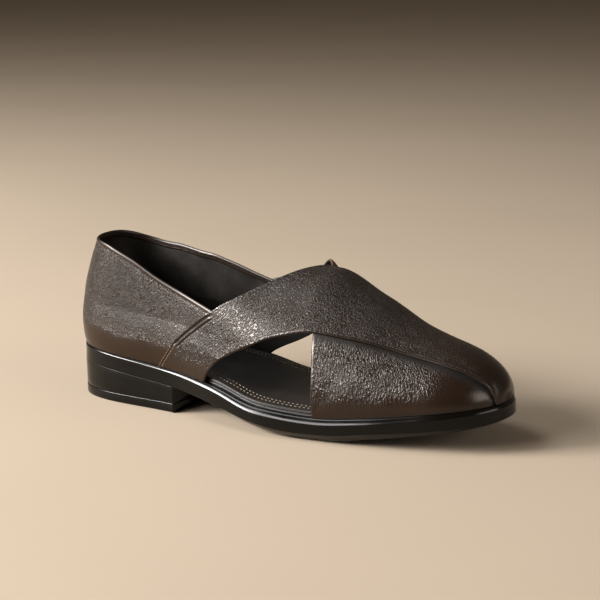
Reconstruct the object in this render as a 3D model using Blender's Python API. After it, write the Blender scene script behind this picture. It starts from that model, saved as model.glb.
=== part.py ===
"""Right-foot cross-strap slip-on with a low heel, built the way it is lasted.

Six pieces: the hollow upper (counter quarter, under strap and cross strap joined
where they overlap), insole, insole board, outsole, heel block and top lift. Every
curve is worked out from the driving dimensions and the short tables below. The
tables run from the back of the heel to the toe and hold shares of those dimensions.

Axes while building: X from the heel to the toe, Y to the inner (medial) side of the
foot, Z up from the floor. Units are metres.
"""
import math
from typing import Callable, NamedTuple

import bmesh
import bpy
import numpy as np

MM = 0.001

# Driving dimensions.
LENGTH = 290 * MM           # sole, heel to tip
BALL_WIDTH = 100 * MM       # half of it is the unit of the outlines
INSTEP = 80 * MM            # unit of the heights of the last
HEEL_LIFT = 32.5 * MM       # top of the sole above the floor, at the back
BREAST = 84.5 * MM          # front face of the heel, from the back

# Thicknesses and clearances.
GAP = 0.3 * MM              # between neighbouring pieces
QUARTER_WALL = 1.6 * MM
STRAP_WALL = 1.7 * MM
INSOLE_WALL = 1.6 * MM      # at the outer edge
ARCH_BANK = 2.6 * MM        # the insole is this much thicker at the inner edge
BOARD_WALL = 1.0 * MM
LIFT_WALL = 5.4 * MM

# Plan rounding of the two ends.
HEEL_ROUND = 33 * MM
HEEL_POWER = 2.3
TOE_ROUND = 41 * MM
TOE_POWER = 2.3

# The last inside the sole outline.
LAST_BACK = 2.2 * MM
LAST_TIP = LENGTH - 4.8 * MM
TOE_RISE = 35 * MM          # length over which the toe closes
TOE_RISE_POWER = 2.5
SWELL_HEIGHT = 30 * MM      # the walls swell out up to here
BACK_HEIGHT = 70 * MM       # unit of the levels of the back curve
BACK_REACH = 70 * MM

# Height of the leather layers above the last.
UNDER_LAY = 0.9 * MM        # under strap over the quarter
CROSS_LAY_REAR = 0.9 * MM   # cross strap over the quarter
CROSS_LAY_FRONT = 1.9 * MM  # cross strap over the under strap
PEAK_LIFT = 4.5 * MM        # throat corner of the under strap stands free
PEAK_RUN = 0.449            # where along the under strap
PEAK_SPREAD = 0.014         # half its breadth, counted along the under strap

# Edges.
EDGE_ROUND = 0.6 * MM
SHOULDER_RUN = 0.7          # breadth of the outsole's shoulder, as a share of its drop
HEEL_TAPER = 0.4 * MM


class OutlineRow(NamedTuple):
    """Half widths of the sole, as shares of half the ball width."""

    share: float
    outer: float
    inner: float


class TopRow(NamedTuple):
    """Upper face of the sole, as a share of the heel lift, and its shoulder's drop in mm."""

    share: float
    height: float
    shoulder: float


class BottomRow(NamedTuple):
    """Underside of the outsole, as shares of the heel lift."""

    share: float
    edge: float
    middle: float


class LastRow(NamedTuple):
    """Section of the last: height as a share of the instep, the rest in mm."""

    share: float
    height: float
    power: float
    ridge: float
    inset: float
    swell: float


class BackRow(NamedTuple):
    """Lean of the back of the upper, in mm, by level above the sole."""

    level: float
    shift: float


class InsetRow(NamedTuple):
    """Room of the insole inside the last, in mm."""

    share: float
    room: float


class RailRow(NamedTuple):
    """Edge of a strap on the last.

    `run` counts along the strap, `share` along the last, and `girth` goes from -1 at
    the outer sole edge over 0 at the ridge to 1 at the inner sole edge.
    """

    run: float
    share: float
    girth: float


class CollarRow(NamedTuple):
    """Collar line: place is minus the share on the outer side, plus on the inner."""

    place: float
    girth: float


class Ring(NamedTuple):
    """One level of a slab's edge; `lean` is the extra height at the inner side."""

    inset: float
    height: Callable
    lean: float = 0.0


SOLE_OUTLINE = (
    OutlineRow(0.00, 0.614, 0.620),
    OutlineRow(0.06, 0.632, 0.640),
    OutlineRow(0.14, 0.698, 0.650),
    OutlineRow(0.27, 0.748, 0.606),
    OutlineRow(0.42, 0.966, 0.612),
    OutlineRow(0.54, 1.080, 0.696),
    OutlineRow(0.65, 1.040, 0.874),
    OutlineRow(0.76, 0.954, 0.928),
    OutlineRow(0.88, 0.780, 0.812),
    OutlineRow(0.96, 0.668, 0.696),
    OutlineRow(1.00, 0.624, 0.644),
)

SOLE_TOP = (
    TopRow(0.00, 1.000, 0.8),
    TopRow(0.13, 0.923, 0.9),
    TopRow(0.27, 0.822, 1.6),
    TopRow(0.40, 0.720, 3.0),
    TopRow(0.52, 0.492, 3.6),
    TopRow(0.64, 0.437, 3.6),
    TopRow(0.76, 0.532, 3.5),
    TopRow(0.88, 0.687, 3.3),
    TopRow(1.00, 0.836, 2.8),
)

SOLE_BOTTOM = (
    BottomRow(0.00, 0.708, 0.708),
    BottomRow(0.13, 0.628, 0.628),
    BottomRow(0.27, 0.514, 0.514),
    BottomRow(0.32, 0.472, 0.463),
    BottomRow(0.40, 0.394, 0.354),
    BottomRow(0.52, 0.205, 0.088),
    BottomRow(0.60, 0.140, 0.000),
    BottomRow(0.68, 0.162, 0.000),
    BottomRow(0.76, 0.250, 0.094),
    BottomRow(0.88, 0.386, 0.270),
    BottomRow(1.00, 0.535, 0.480),
)

LAST = (
    LastRow(0.00, 1.470, 2.60, 0.0, 2.4, 1.5),
    LastRow(0.15, 1.290, 2.60, 1.0, 2.8, 2.5),
    LastRow(0.30, 1.066, 2.40, 3.0, 3.8, 2.5),
    LastRow(0.40, 0.961, 2.25, 4.0, 4.4, 1.5),
    LastRow(0.50, 0.925, 2.15, 5.0, 4.8, 1.0),
    LastRow(0.60, 0.922, 2.10, 5.0, 4.8, 1.0),
    LastRow(0.70, 0.744, 2.05, 4.0, 4.8, 1.0),
    LastRow(0.80, 0.514, 1.90, 3.0, 4.6, 1.0),
    LastRow(0.90, 0.354, 1.87, 1.5, 4.3, 0.7),
    LastRow(1.00, 0.240, 1.87, 0.0, 4.0, 0.5),
)

BACK_CURVE = (
    BackRow(0.00, -0.3),
    BackRow(0.12, -1.9),
    BackRow(0.25, -2.5),
    BackRow(0.50, -0.6),
    BackRow(0.75, 4.4),
    BackRow(1.00, 10.8),
    BackRow(2.00, 28.0),
)

INSOLE_ROOM = (
    InsetRow(0.00, 0.3),
    InsetRow(0.80, 0.4),
    InsetRow(0.90, 1.2),
    InsetRow(0.96, 2.6),
    InsetRow(1.00, 3.4),
)

# Cross strap: from the outer quarter over the instep, round the toe.
CROSS_REAR = (
    RailRow(0.00, 0.250, -1.000),
    RailRow(0.05, 0.273, -0.935),
    RailRow(0.10, 0.300, -0.855),
    RailRow(0.16, 0.345, -0.750),
    RailRow(0.22, 0.397, -0.628),
    RailRow(0.28, 0.447, -0.500),
    RailRow(0.34, 0.497, -0.330),
    RailRow(0.39, 0.538, -0.160),
    RailRow(0.43, 0.572, 0.020),
    RailRow(0.48, 0.606, 0.270),
    RailRow(0.53, 0.630, 0.530),
    RailRow(0.57, 0.645, 0.790),
    RailRow(0.60, 0.655, 1.000),
    RailRow(0.75, 0.790, 1.000),
    RailRow(0.88, 0.910, 1.000),
    RailRow(1.00, 1.000, 1.000),
)
CROSS_FRONT = (
    RailRow(0.00, 0.385, -1.000),
    RailRow(0.05, 0.394, -0.955),
    RailRow(0.10, 0.422, -0.873),
    RailRow(0.16, 0.452, -0.806),
    RailRow(0.22, 0.495, -0.722),
    RailRow(0.28, 0.540, -0.650),
    RailRow(0.34, 0.582, -0.607),
    RailRow(0.43, 0.650, -0.550),
    RailRow(0.53, 0.735, -0.485),
    RailRow(0.60, 0.800, -0.445),
    RailRow(0.68, 0.860, -0.441),
    RailRow(0.75, 0.905, -0.455),
    RailRow(0.82, 0.946, -0.480),
    RailRow(0.87, 0.968, -0.530),
    RailRow(0.91, 0.982, -0.610),
    RailRow(0.95, 0.989, -0.780),
    RailRow(0.98, 0.9935, -1.000),
    RailRow(1.00, 1.000, -1.000),
)

# Under strap: from the inner quarter under the cross strap to the outer forefoot.
UNDER_REAR = (
    RailRow(0.00, 0.250, 1.000),
    RailRow(0.06, 0.273, 0.935),
    RailRow(0.12, 0.300, 0.850),
    RailRow(0.18, 0.345, 0.720),
    RailRow(0.24, 0.397, 0.560),
    RailRow(0.31, 0.447, 0.455),
    RailRow(0.38, 0.512, 0.325),
    RailRow(0.43, 0.557, 0.170),
    RailRow(0.48, 0.589, 0.030),
    RailRow(0.54, 0.612, -0.260),
    RailRow(0.60, 0.634, -0.565),
    RailRow(0.66, 0.647, -0.805),
    RailRow(0.70, 0.655, -1.000),
    RailRow(0.85, 0.830, -1.000),
    RailRow(1.00, 0.998, -1.000),
)
UNDER_FRONT = (
    RailRow(0.00, 0.385, 1.000),
    RailRow(0.06, 0.402, 0.959),
    RailRow(0.12, 0.427, 0.914),
    RailRow(0.18, 0.457, 0.861),
    RailRow(0.24, 0.491, 0.794),
    RailRow(0.31, 0.530, 0.710),
    RailRow(0.38, 0.570, 0.640),
    RailRow(0.43, 0.600, 0.560),
    RailRow(0.48, 0.635, 0.460),
    RailRow(0.54, 0.680, 0.250),
    RailRow(0.60, 0.725, 0.050),
    RailRow(0.70, 0.800, -0.190),
    RailRow(0.85, 0.900, -0.270),
    RailRow(0.97, 0.975, -0.340),
    RailRow(1.00, 0.996, -0.400),
)

# Quarter: wraps the heel and ends under both straps.
QUARTER_FOOT_END = 0.31
COLLAR = (
    CollarRow(-0.430, 0.640),
    CollarRow(-0.381, 0.629),
    CollarRow(-0.306, 0.620),
    CollarRow(-0.241, 0.608),
    CollarRow(-0.165, 0.585),
    CollarRow(-0.100, 0.581),
    CollarRow(0.000, 0.606),
    CollarRow(0.060, 0.615),
    CollarRow(0.100, 0.616),
    CollarRow(0.170, 0.597),
    CollarRow(0.220, 0.571),
    CollarRow(0.275, 0.538),
    CollarRow(0.340, 0.522),
    CollarRow(0.430, 0.520),
)

# Mesh density.
SOLE_STATIONS = 60
CROSS_COLUMNS = 60
CROSS_ROWS = 15
UNDER_COLUMNS = 50
UNDER_ROWS = 9
QUARTER_COLUMNS = 40
QUARTER_ROWS = 7
HEEL_STATIONS = 18

SMOOTH_ANGLE = math.radians(32)


def through(places, values, at):
    """Return the monotone cubic through a table's points.

    Args:
        places: rising positions of the rows.
        values: the value of each row.
        at: positions that are asked for.

    Returns:
        The values at those positions.
    """
    places = np.asarray(places, float)
    values = np.asarray(values, float)
    at = np.clip(np.asarray(at, float), places[0], places[-1])
    step = np.diff(places)
    rise = np.diff(values) / step
    slope = np.zeros(len(places))
    for row in range(1, len(places) - 1):
        before = rise[row - 1]
        after = rise[row]
        if before * after > 0:
            long_before = 2 * step[row] + step[row - 1]
            long_after = step[row] + 2 * step[row - 1]
            slope[row] = (long_before + long_after) / (long_before / before + long_after / after)
    slope[0] = end_slope(step[0], step[1], rise[0], rise[1])
    slope[-1] = end_slope(step[-1], step[-2], rise[-1], rise[-2])
    row = np.clip(np.searchsorted(places, at, side="right") - 1, 0, len(places) - 2)
    t = (at - places[row]) / step[row]
    start = (2 * t**3 - 3 * t**2 + 1) * values[row] + (t**3 - 2 * t**2 + t) * step[row] * slope[row]
    finish = (3 * t**2 - 2 * t**3) * values[row + 1] + (t**3 - t**2) * step[row] * slope[row + 1]
    return start + finish


def end_slope(step, next_step, rise, next_rise):
    """Return the slope at the end of a table, without overshoot."""
    slope = ((2 * step + next_step) * rise - step * next_rise) / (step + next_step)
    if slope * rise <= 0:
        return 0.0
    if rise * next_rise < 0 and abs(slope) > 3 * abs(rise):
        return 3 * rise
    return slope


def column(table, name, at):
    """Return one column of a table at the given positions of its first column."""
    places = [row[0] for row in table]
    values = [getattr(row, name) for row in table]
    return through(places, values, at)


def sole_top(x):
    """Return the height of the sole's upper face at a distance from the heel."""
    return column(SOLE_TOP, "height", np.asarray(x) / LENGTH) * HEEL_LIFT


def shoulder(x):
    """Return the drop of the outsole's rounded shoulder."""
    return column(SOLE_TOP, "shoulder", np.asarray(x) / LENGTH) * MM


def sole_bottom(x, name):
    """Return the height of the outsole's underside, at its edge or in its middle."""
    return column(SOLE_BOTTOM, name, np.asarray(x) / LENGTH) * HEEL_LIFT


def rounded(start, power):
    """Return the share of the width that is left, for 0 to 1 towards a round end."""
    return (1 - np.clip(start, 0, 1) ** power) ** (1 / power)


def last_point(share, girth, lay=0.0):
    """Return points on the last, or a layer's height above it.

    Args:
        share: 0 at the back of the heel to 1 at the tip.
        girth: -1 at the outer sole edge, 0 on the ridge, 1 at the inner sole edge.
        lay: height above the last, in metres.

    Returns:
        An array of points whose last axis is x, y, z.
    """
    share, girth, lay = np.broadcast_arrays(
        np.asarray(share, float), np.asarray(girth, float), np.asarray(lay, float))
    back = LAST_BACK - lay
    tip = LAST_TIP + lay
    x = back + (tip - back) * share
    place = x / LENGTH
    heel = rounded(1 - (x - back) / (HEEL_ROUND - back), HEEL_POWER)
    toe = rounded((x - LENGTH + TOE_ROUND) / (tip - LENGTH + TOE_ROUND), TOE_POWER)
    wide = heel * toe
    tall = rounded(1 - (tip - x) / TOE_RISE, TOE_RISE_POWER)
    outer = column(SOLE_OUTLINE, "outer", place) * BALL_WIDTH / 2
    inner = column(SOLE_OUTLINE, "inner", place) * BALL_WIDTH / 2
    inset = column(LAST, "inset", place) * MM - lay
    ridge = column(LAST, "ridge", place) * MM * wide
    half = np.where(girth < 0, (outer - inset) * wide + ridge, (inner - inset) * wide - ridge)
    height = (column(LAST, "height", place) * INSTEP + lay) * tall
    power = column(LAST, "power", place)
    rise = np.clip(np.cos(np.radians(90) * girth), 0, 1)
    z = height * rise
    out = half * (1 - rise**power) ** (1 / power)
    swell = np.sin(np.pi * np.clip(z / SWELL_HEIGHT, 0, 1) ** 0.8)
    out = out + column(LAST, "swell", place) * MM * wide * swell
    y = ridge + np.sign(girth) * out
    fade = np.clip(1 - (x - back) / BACK_REACH, 0, 1) ** 2
    x = x + column(BACK_CURVE, "shift", np.clip(z / BACK_HEIGHT, 0, 2)) * MM * fade
    return np.stack([x, y, sole_top(x) + GAP + z], axis=-1)


def close_sheet(inner, outer):
    """Return the points and faces of a closed wall between two matching grids.

    Args:
        inner: grid of points on the inside, (columns, rows, 3).
        outer: grid of points on the outside, the same shape.
    """
    columns, rows = inner.shape[:2]
    points = np.concatenate([inner.reshape(-1, 3), outer.reshape(-1, 3)])
    shift = columns * rows

    def at(col, row, layer=0):
        return layer * shift + col * rows + row

    faces = []
    for col in range(columns - 1):
        for row in range(rows - 1):
            faces.append((at(col, row), at(col, row + 1), at(col + 1, row + 1), at(col + 1, row)))
            faces.append((at(col, row, 1), at(col + 1, row, 1),
                          at(col + 1, row + 1, 1), at(col, row + 1, 1)))
    for col in range(columns - 1):
        faces.append((at(col, 0), at(col + 1, 0), at(col + 1, 0, 1), at(col, 0, 1)))
        last = rows - 1
        faces.append((at(col, last, 1), at(col + 1, last, 1), at(col + 1, last), at(col, last)))
    for row in range(rows - 1):
        faces.append((at(0, row + 1), at(0, row), at(0, row, 1), at(0, row + 1, 1)))
        last = columns - 1
        faces.append((at(last, row), at(last, row + 1), at(last, row + 1, 1), at(last, row, 1)))
    return points, faces


def strap_grid(rear, front, columns, rows):
    """Return the share and girth of a strap's grid between its two edges."""
    run = np.linspace(0, 1, columns)
    across = np.linspace(0, 1, rows)[None, :]
    share_rear = column(rear, "share", run)[:, None]
    share_front = column(front, "share", run)[:, None]
    girth_rear = column(rear, "girth", run)[:, None]
    girth_front = column(front, "girth", run)[:, None]
    share = share_rear + (share_front - share_rear) * across
    girth = girth_rear + (girth_front - girth_rear) * across
    return run[:, None] + 0 * across, across + 0 * run[:, None], share, girth


def cross_strap():
    """Return the wall of the cross strap."""
    run, across, share, girth = strap_grid(CROSS_REAR, CROSS_FRONT, CROSS_COLUMNS, CROSS_ROWS)
    climb = np.clip((run - 0.12) / 0.16, 0, 1)
    climb = climb * climb * (3 - 2 * climb)
    lay = CROSS_LAY_REAR + (CROSS_LAY_FRONT - CROSS_LAY_REAR) * climb
    return close_sheet(last_point(share, girth, lay), last_point(share, girth, lay + STRAP_WALL))


def under_strap():
    """Return the wall of the under strap, whose throat corner stands free."""
    run, across, share, girth = strap_grid(UNDER_REAR, UNDER_FRONT, UNDER_COLUMNS, UNDER_ROWS)
    corner = np.exp(-((run - PEAK_RUN) / PEAK_SPREAD) ** 2) * np.clip(1 - across / 0.2, 0, 1) ** 2
    lay = UNDER_LAY + PEAK_LIFT * corner
    return close_sheet(last_point(share, girth, lay), last_point(share, girth, lay + STRAP_WALL))


def quarter():
    """Return the wall of the quarter, from the outer side round the heel."""
    turn = np.linspace(-1, 1, QUARTER_COLUMNS)[:, None]
    up = np.linspace(0, 1, QUARTER_ROWS)[None, :]
    side = np.sign(turn) + (turn == 0)
    foot = QUARTER_FOOT_END * turn**2
    collar_end = COLLAR[-1].place * turn**2
    share = foot + (collar_end - foot) * up
    edge = column(COLLAR, "girth", side * collar_end)
    girth = side * (1 - (1 - edge) * up)
    return close_sheet(last_point(share, girth), last_point(share, girth, QUARTER_WALL))


def outline(stations, inset, reach=LENGTH):
    """Return the sole outline moved inwards, as outer and inner side points.

    Args:
        stations: distances from the heel where the outline is worked out.
        inset: distance moved inwards, one value or one for each station.
        reach: the outline is cut square at this distance.

    Returns:
        Two arrays of x, y points, outer side and inner side.
    """
    ends = (rounded(1 - stations / HEEL_ROUND, HEEL_POWER)
            * rounded((stations - LENGTH + TOE_ROUND) / TOE_ROUND, TOE_POWER))
    sides = []
    for name, sign in (("outer", -1), ("inner", 1)):
        width = column(SOLE_OUTLINE, name, stations / LENGTH) * BALL_WIDTH / 2 * ends
        line = np.stack([stations, sign * width], axis=-1)
        before = np.roll(line, 1, axis=0)
        after = np.roll(line, -1, axis=0)
        before[0] = line[1] * (1, -1)
        after[-1] = line[-2] * (1, -1) if reach == LENGTH else 2 * line[-1] - line[-2]
        along = after - before
        if reach != LENGTH:
            along[-1] = (line[-1] - line[-2])
        along /= np.linalg.norm(along, axis=1)[:, None]
        inwards = np.stack([along[:, 1], -along[:, 0]], axis=-1) * sign
        moved = line + inwards * np.reshape(inset, (-1, 1))
        if reach != LENGTH:
            moved[-1, 0] = reach
        moved[0, 1] = 0
        if reach == LENGTH:
            moved[-1, 1] = 0
        sides.append(moved)
    return sides


def bank(loop, lean):
    """Return the extra height of points on a loop that rises towards the inner side."""
    return lean * (1 + np.clip(2 * loop[:, 1] / BALL_WIDTH, -1, 1)) / 2


def slab(stations, rings, reach=LENGTH):
    """Return a closed solid whose edge is a stack of rings.

    Args:
        stations: distances from the heel of the outline's points.
        rings: the levels of its edge, from the top down.
        reach: where the slab is cut square in front.
    """
    square = reach != LENGTH
    count = len(stations)
    points = []
    for ring in rings:
        outer, inner = outline(stations, ring.inset, reach)
        back = inner[1:][::-1] if square else inner[1:-1][::-1]
        loop = np.concatenate([outer, back])
        points.append(np.column_stack([loop, ring.height(loop[:, 0]) + bank(loop, ring.lean)]))
    size = len(points[0])
    faces = []
    for level in range(len(points) - 1):
        for place in range(size):
            after = (place + 1) % size
            faces.append((level * size + place, (level + 1) * size + place,
                          (level + 1) * size + after, level * size + after))

    def rung(station):
        """Return the two loop places on one station."""
        return station, (size - station) % size

    last = (len(points) - 1) * size
    for station in range(count - 1):
        here = rung(station)
        ahead = rung(station + 1)
        top = list(dict.fromkeys([here[0], ahead[0], ahead[1], here[1]]))
        faces.append(tuple(top))
        faces.append(tuple(last + place for place in reversed(top)))
    return np.concatenate(points), faces


def spaced(reach, count, square=False):
    """Return stations that crowd towards the round ends."""
    turn = np.linspace(0, 1, count)
    if square:
        return reach * (1 - np.cos(turn * math.pi / 2))
    return reach * (1 - np.cos(turn * math.pi)) / 2


def outsole():
    """Return the outsole: round shoulder, upright side, bevel and flat tread."""
    stations = spaced(LENGTH, SOLE_STATIONS)

    def from_top(share):
        return lambda x: sole_top(x) - shoulder(x) * share

    def from_edge(rise):
        return lambda x: sole_bottom(x, "edge") + rise

    def blend(part):
        return lambda x: (1 - part) * sole_bottom(x, "edge") + part * sole_bottom(x, "middle")

    rings = []
    for angle in (0, 30, 60, 90):
        turn = math.radians(angle)
        breadth = SHOULDER_RUN * shoulder(stations)
        rings.append(Ring(breadth * (1 - math.sin(turn)), from_top(1 - math.cos(turn))))
    rings.append(Ring(0.0, from_edge(EDGE_ROUND)))
    rings.append(Ring(EDGE_ROUND, from_edge(0.0)))
    rings.append(Ring(5.0 * MM, blend(0.8)))
    rings.append(Ring(9.0 * MM, blend(1.0)))
    return slab(stations, rings)


def heel_block():
    """Return the heel block, cut square at the breast."""
    stations = spaced(BREAST, HEEL_STATIONS, square=True)
    under = LIFT_WALL + GAP

    def top(x):
        return sole_bottom(x, "edge") - GAP

    rings = [
        Ring(0.5 * MM, top),
        Ring(0.1 * MM, lambda x: top(x) - 0.4 * MM),
        Ring(HEEL_TAPER, lambda x: under + 0.5 * MM + 0 * x),
        Ring(HEEL_TAPER + 0.5 * MM, lambda x: under + 0 * x),
    ]
    return slab(stations, rings, BREAST)


def top_lift():
    """Return the top lift, the flat piece that meets the floor."""
    stations = spaced(BREAST, HEEL_STATIONS, square=True)
    rings = [
        Ring(HEEL_TAPER + 0.5 * MM, lambda x: LIFT_WALL + 0 * x),
        Ring(HEEL_TAPER, lambda x: LIFT_WALL - 0.5 * MM + 0 * x),
        Ring(HEEL_TAPER, lambda x: EDGE_ROUND + 0 * x),
        Ring(HEEL_TAPER + EDGE_ROUND, lambda x: 0 * x),
    ]
    return slab(stations, rings, BREAST)


def inner_inset(stations, extra):
    """Return how far the insole layers sit inside the sole outline."""
    share = stations / LENGTH
    return (column(LAST, "inset", share) + column(INSOLE_ROOM, "room", share)) * MM + extra


def board():
    """Return the insole board, the dark layer between insole and outsole."""
    stations = spaced(LENGTH, SOLE_STATIONS)
    inset = inner_inset(stations, 0.6 * MM)
    rings = [
        Ring(inset, lambda x: sole_top(x) + GAP + BOARD_WALL),
        Ring(inset, lambda x: sole_top(x) + GAP),
    ]
    return slab(stations, rings)


def insole():
    """Return the insole with its rounded upper edge, banked up to the arch."""
    stations = spaced(LENGTH, SOLE_STATIONS)

    def level(rise):
        return lambda x: sole_top(x) + 2 * GAP + BOARD_WALL + rise

    rings = [
        Ring(inner_inset(stations, 1.0 * MM), level(INSOLE_WALL), ARCH_BANK),
        Ring(inner_inset(stations, 0.3 * MM), level(INSOLE_WALL - 0.2 * MM), ARCH_BANK),
        Ring(inner_inset(stations, 0.0), level(INSOLE_WALL - 0.7 * MM), ARCH_BANK),
        Ring(inner_inset(stations, 0.0), level(0.0)),
    ]
    return slab(stations, rings)


def make_material(name, colour, roughness, coat=0.0):
    """Return a plain material."""
    material = bpy.data.materials.new(name)
    material.use_nodes = True
    shader = material.node_tree.nodes["Principled BSDF"]
    shader.inputs["Base Color"].default_value = (*colour, 1.0)
    shader.inputs["Roughness"].default_value = roughness
    shader.inputs["Coat Weight"].default_value = coat
    return material


def make_object(name, shape):
    """Return a mesh object from points and faces, with its normals outwards."""
    points, faces = shape
    mesh = bpy.data.meshes.new(name)
    mesh.from_pydata([tuple(point) for point in points], [], faces)
    work = bmesh.new()
    work.from_mesh(mesh)
    bmesh.ops.remove_doubles(work, verts=work.verts, dist=1e-6)
    bmesh.ops.recalc_face_normals(work, faces=work.faces)
    if work.calc_volume(signed=True) < 0:
        bmesh.ops.reverse_faces(work, faces=work.faces)
    work.to_mesh(mesh)
    work.free()
    made = bpy.data.objects.new(name, mesh)
    bpy.context.scene.collection.objects.link(made)
    return made


def join_walls(target, others):
    """Weld other walls into the target with exact unions, as one solid."""
    for other in others:
        union = target.modifiers.new("join " + other.name, "BOOLEAN")
        union.operation = "UNION"
        union.solver = "EXACT"
        union.object = other
    graph = bpy.context.evaluated_depsgraph_get()
    mesh = bpy.data.meshes.new_from_object(target.evaluated_get(graph))
    target.modifiers.clear()
    target.data = mesh
    for other in others:
        bpy.data.objects.remove(other)
    work = bmesh.new()
    work.from_mesh(mesh)
    bmesh.ops.remove_doubles(work, verts=work.verts, dist=2e-6)
    bmesh.ops.dissolve_degenerate(work, edges=work.edges, dist=2e-6)
    bmesh.ops.triangulate(work, faces=work.faces)
    work.to_mesh(mesh)
    work.free()


def finish(made, material):
    """Shade a piece smooth where it is round and give it its material."""
    made.data.materials.clear()
    made.data.materials.append(material)
    made.data.shade_smooth()
    made.data.set_sharp_from_angle(angle=SMOOTH_ANGLE)


def stand(pieces):
    """Hang every piece on one empty that centres the shoe over the origin."""
    corners = np.array([vertex.co[:] for piece in pieces for vertex in piece.data.vertices])
    low = corners.min(axis=0)
    high = corners.max(axis=0)
    root = bpy.data.objects.new("shoe", None)
    bpy.context.scene.collection.objects.link(root)
    root.location = (-(low[0] + high[0]) / 2, -(low[1] + high[1]) / 2, -low[2])
    for piece in pieces:
        piece.parent = root


def clear_scene():
    """Remove what the scene holds."""
    for old in list(bpy.data.objects):
        bpy.data.objects.remove(old)


def main():
    """Build the six pieces and stand the shoe on the floor."""
    clear_scene()
    upper = make_object("upper", quarter())
    straps = [make_object("under strap", under_strap()), make_object("cross strap", cross_strap())]
    join_walls(upper, straps)
    leather = make_material("pebbled leather", (0.060, 0.034, 0.024), 0.42, 0.15)
    sock = make_material("insole leather", (0.030, 0.022, 0.019), 0.5)
    fibre = make_material("insole board", (0.012, 0.009, 0.008), 0.7)
    rubber = make_material("sole rubber", (0.012, 0.009, 0.008), 0.3, 0.3)
    stack = make_material("heel stack", (0.014, 0.010, 0.009), 0.38, 0.2)
    tread = make_material("top lift rubber", (0.011, 0.010, 0.009), 0.6)
    finish(upper, leather)
    pieces = [upper]
    for name, shape, material in (
        ("insole", insole(), sock),
        ("insole_board", board(), fibre),
        ("outsole", outsole(), rubber),
        ("heel_block", heel_block(), stack),
        ("top_lift", top_lift(), tread),
    ):
        piece = make_object(name, shape)
        finish(piece, material)
        pieces.append(piece)
    stand(pieces)


main()
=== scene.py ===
"""Looks of the cross-strap flat shoe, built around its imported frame.

The shoe is dressed the way it is made: a counter quarter, an under strap and a cross
strap of pebbled leather over a smooth lining, a stitched insole on its board, and a
polished outsole on a low heel. Lengths are in metres, x runs from the heel to the toe,
y to the inner side of the foot and z up.
"""
import logging
import math
from dataclasses import dataclass
from enum import Enum
from typing import Callable, NamedTuple, Sequence

import bpy
import numpy as np
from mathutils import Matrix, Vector


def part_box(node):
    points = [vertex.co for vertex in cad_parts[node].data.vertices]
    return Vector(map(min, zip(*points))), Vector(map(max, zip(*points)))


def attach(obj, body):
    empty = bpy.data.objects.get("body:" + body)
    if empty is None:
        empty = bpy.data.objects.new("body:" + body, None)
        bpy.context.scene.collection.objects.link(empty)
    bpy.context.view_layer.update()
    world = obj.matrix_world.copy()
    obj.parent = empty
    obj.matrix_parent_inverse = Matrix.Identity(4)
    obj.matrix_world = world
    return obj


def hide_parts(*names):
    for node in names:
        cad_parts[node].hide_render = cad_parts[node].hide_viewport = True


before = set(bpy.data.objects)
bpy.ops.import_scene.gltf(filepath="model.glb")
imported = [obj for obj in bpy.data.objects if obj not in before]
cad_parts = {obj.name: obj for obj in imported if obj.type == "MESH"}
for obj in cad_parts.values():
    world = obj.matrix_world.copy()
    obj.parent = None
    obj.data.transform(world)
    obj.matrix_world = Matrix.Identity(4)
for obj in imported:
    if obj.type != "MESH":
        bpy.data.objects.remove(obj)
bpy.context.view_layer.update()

MM = 0.001
ROOT = "root"
INSTEP = 80 * MM
log = logging.getLogger("shoe")

Colour = tuple[float, float, float]
Band = tuple[float, float]
Grid = tuple[np.ndarray, np.ndarray, np.ndarray, np.ndarray]


class Side(Enum):
    """The two long sides of the shoe."""

    OUTER = -1
    INNER = 1


class OutlineRow(NamedTuple):
    """Half widths of the sole, as shares of half the ball width."""

    share: float
    outer: float
    inner: float


class TopRow(NamedTuple):
    """Upper face of the sole, as a share of the heel lift, and the drop of its edge in mm."""

    share: float
    height: float
    shoulder: float


class BottomRow(NamedTuple):
    """Underside of the outsole, as shares of the heel lift."""

    share: float
    edge: float
    middle: float


class LastRow(NamedTuple):
    """Section of the last: height as a share of the instep, the rest in mm."""

    share: float
    height: float
    power: float
    ridge: float
    inset: float
    swell: float


class BackRow(NamedTuple):
    """Lean of the back of the upper, in mm, by level above the sole."""

    level: float
    shift: float


class RoomRow(NamedTuple):
    """Room of the insole inside the last, in mm."""

    share: float
    room: float


class RailRow(NamedTuple):
    """Edge of a strap: place along the strap, along the last and round the foot."""

    run: float
    share: float
    girth: float


class CollarRow(NamedTuple):
    """Collar line: place is minus the share on the outer side, plus on the inner."""

    place: float
    girth: float


def rows_of(kind: type, *rows: tuple[float, ...]) -> tuple:
    """Return a table whose rows are of one kind."""
    return tuple(kind(*row) for row in rows)


def in_mm(*values: float) -> tuple[float, ...]:
    """Return lengths given in mm."""
    return tuple(value * MM for value in values)


SOLE_OUTLINE = rows_of(
    OutlineRow, (0.00, 0.614, 0.620), (0.06, 0.632, 0.640), (0.14, 0.698, 0.650),
    (0.27, 0.748, 0.606), (0.42, 0.966, 0.612), (0.54, 1.080, 0.696), (0.65, 1.040, 0.874),
    (0.76, 0.954, 0.928), (0.88, 0.780, 0.812), (0.96, 0.668, 0.696), (1.00, 0.624, 0.644))

SOLE_TOP = rows_of(
    TopRow, (0.00, 1.000, 0.8), (0.13, 0.923, 0.9), (0.27, 0.822, 1.6), (0.40, 0.720, 3.0),
    (0.52, 0.492, 3.6), (0.64, 0.437, 3.6), (0.76, 0.532, 3.5), (0.88, 0.687, 3.3),
    (1.00, 0.836, 2.8))

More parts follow.
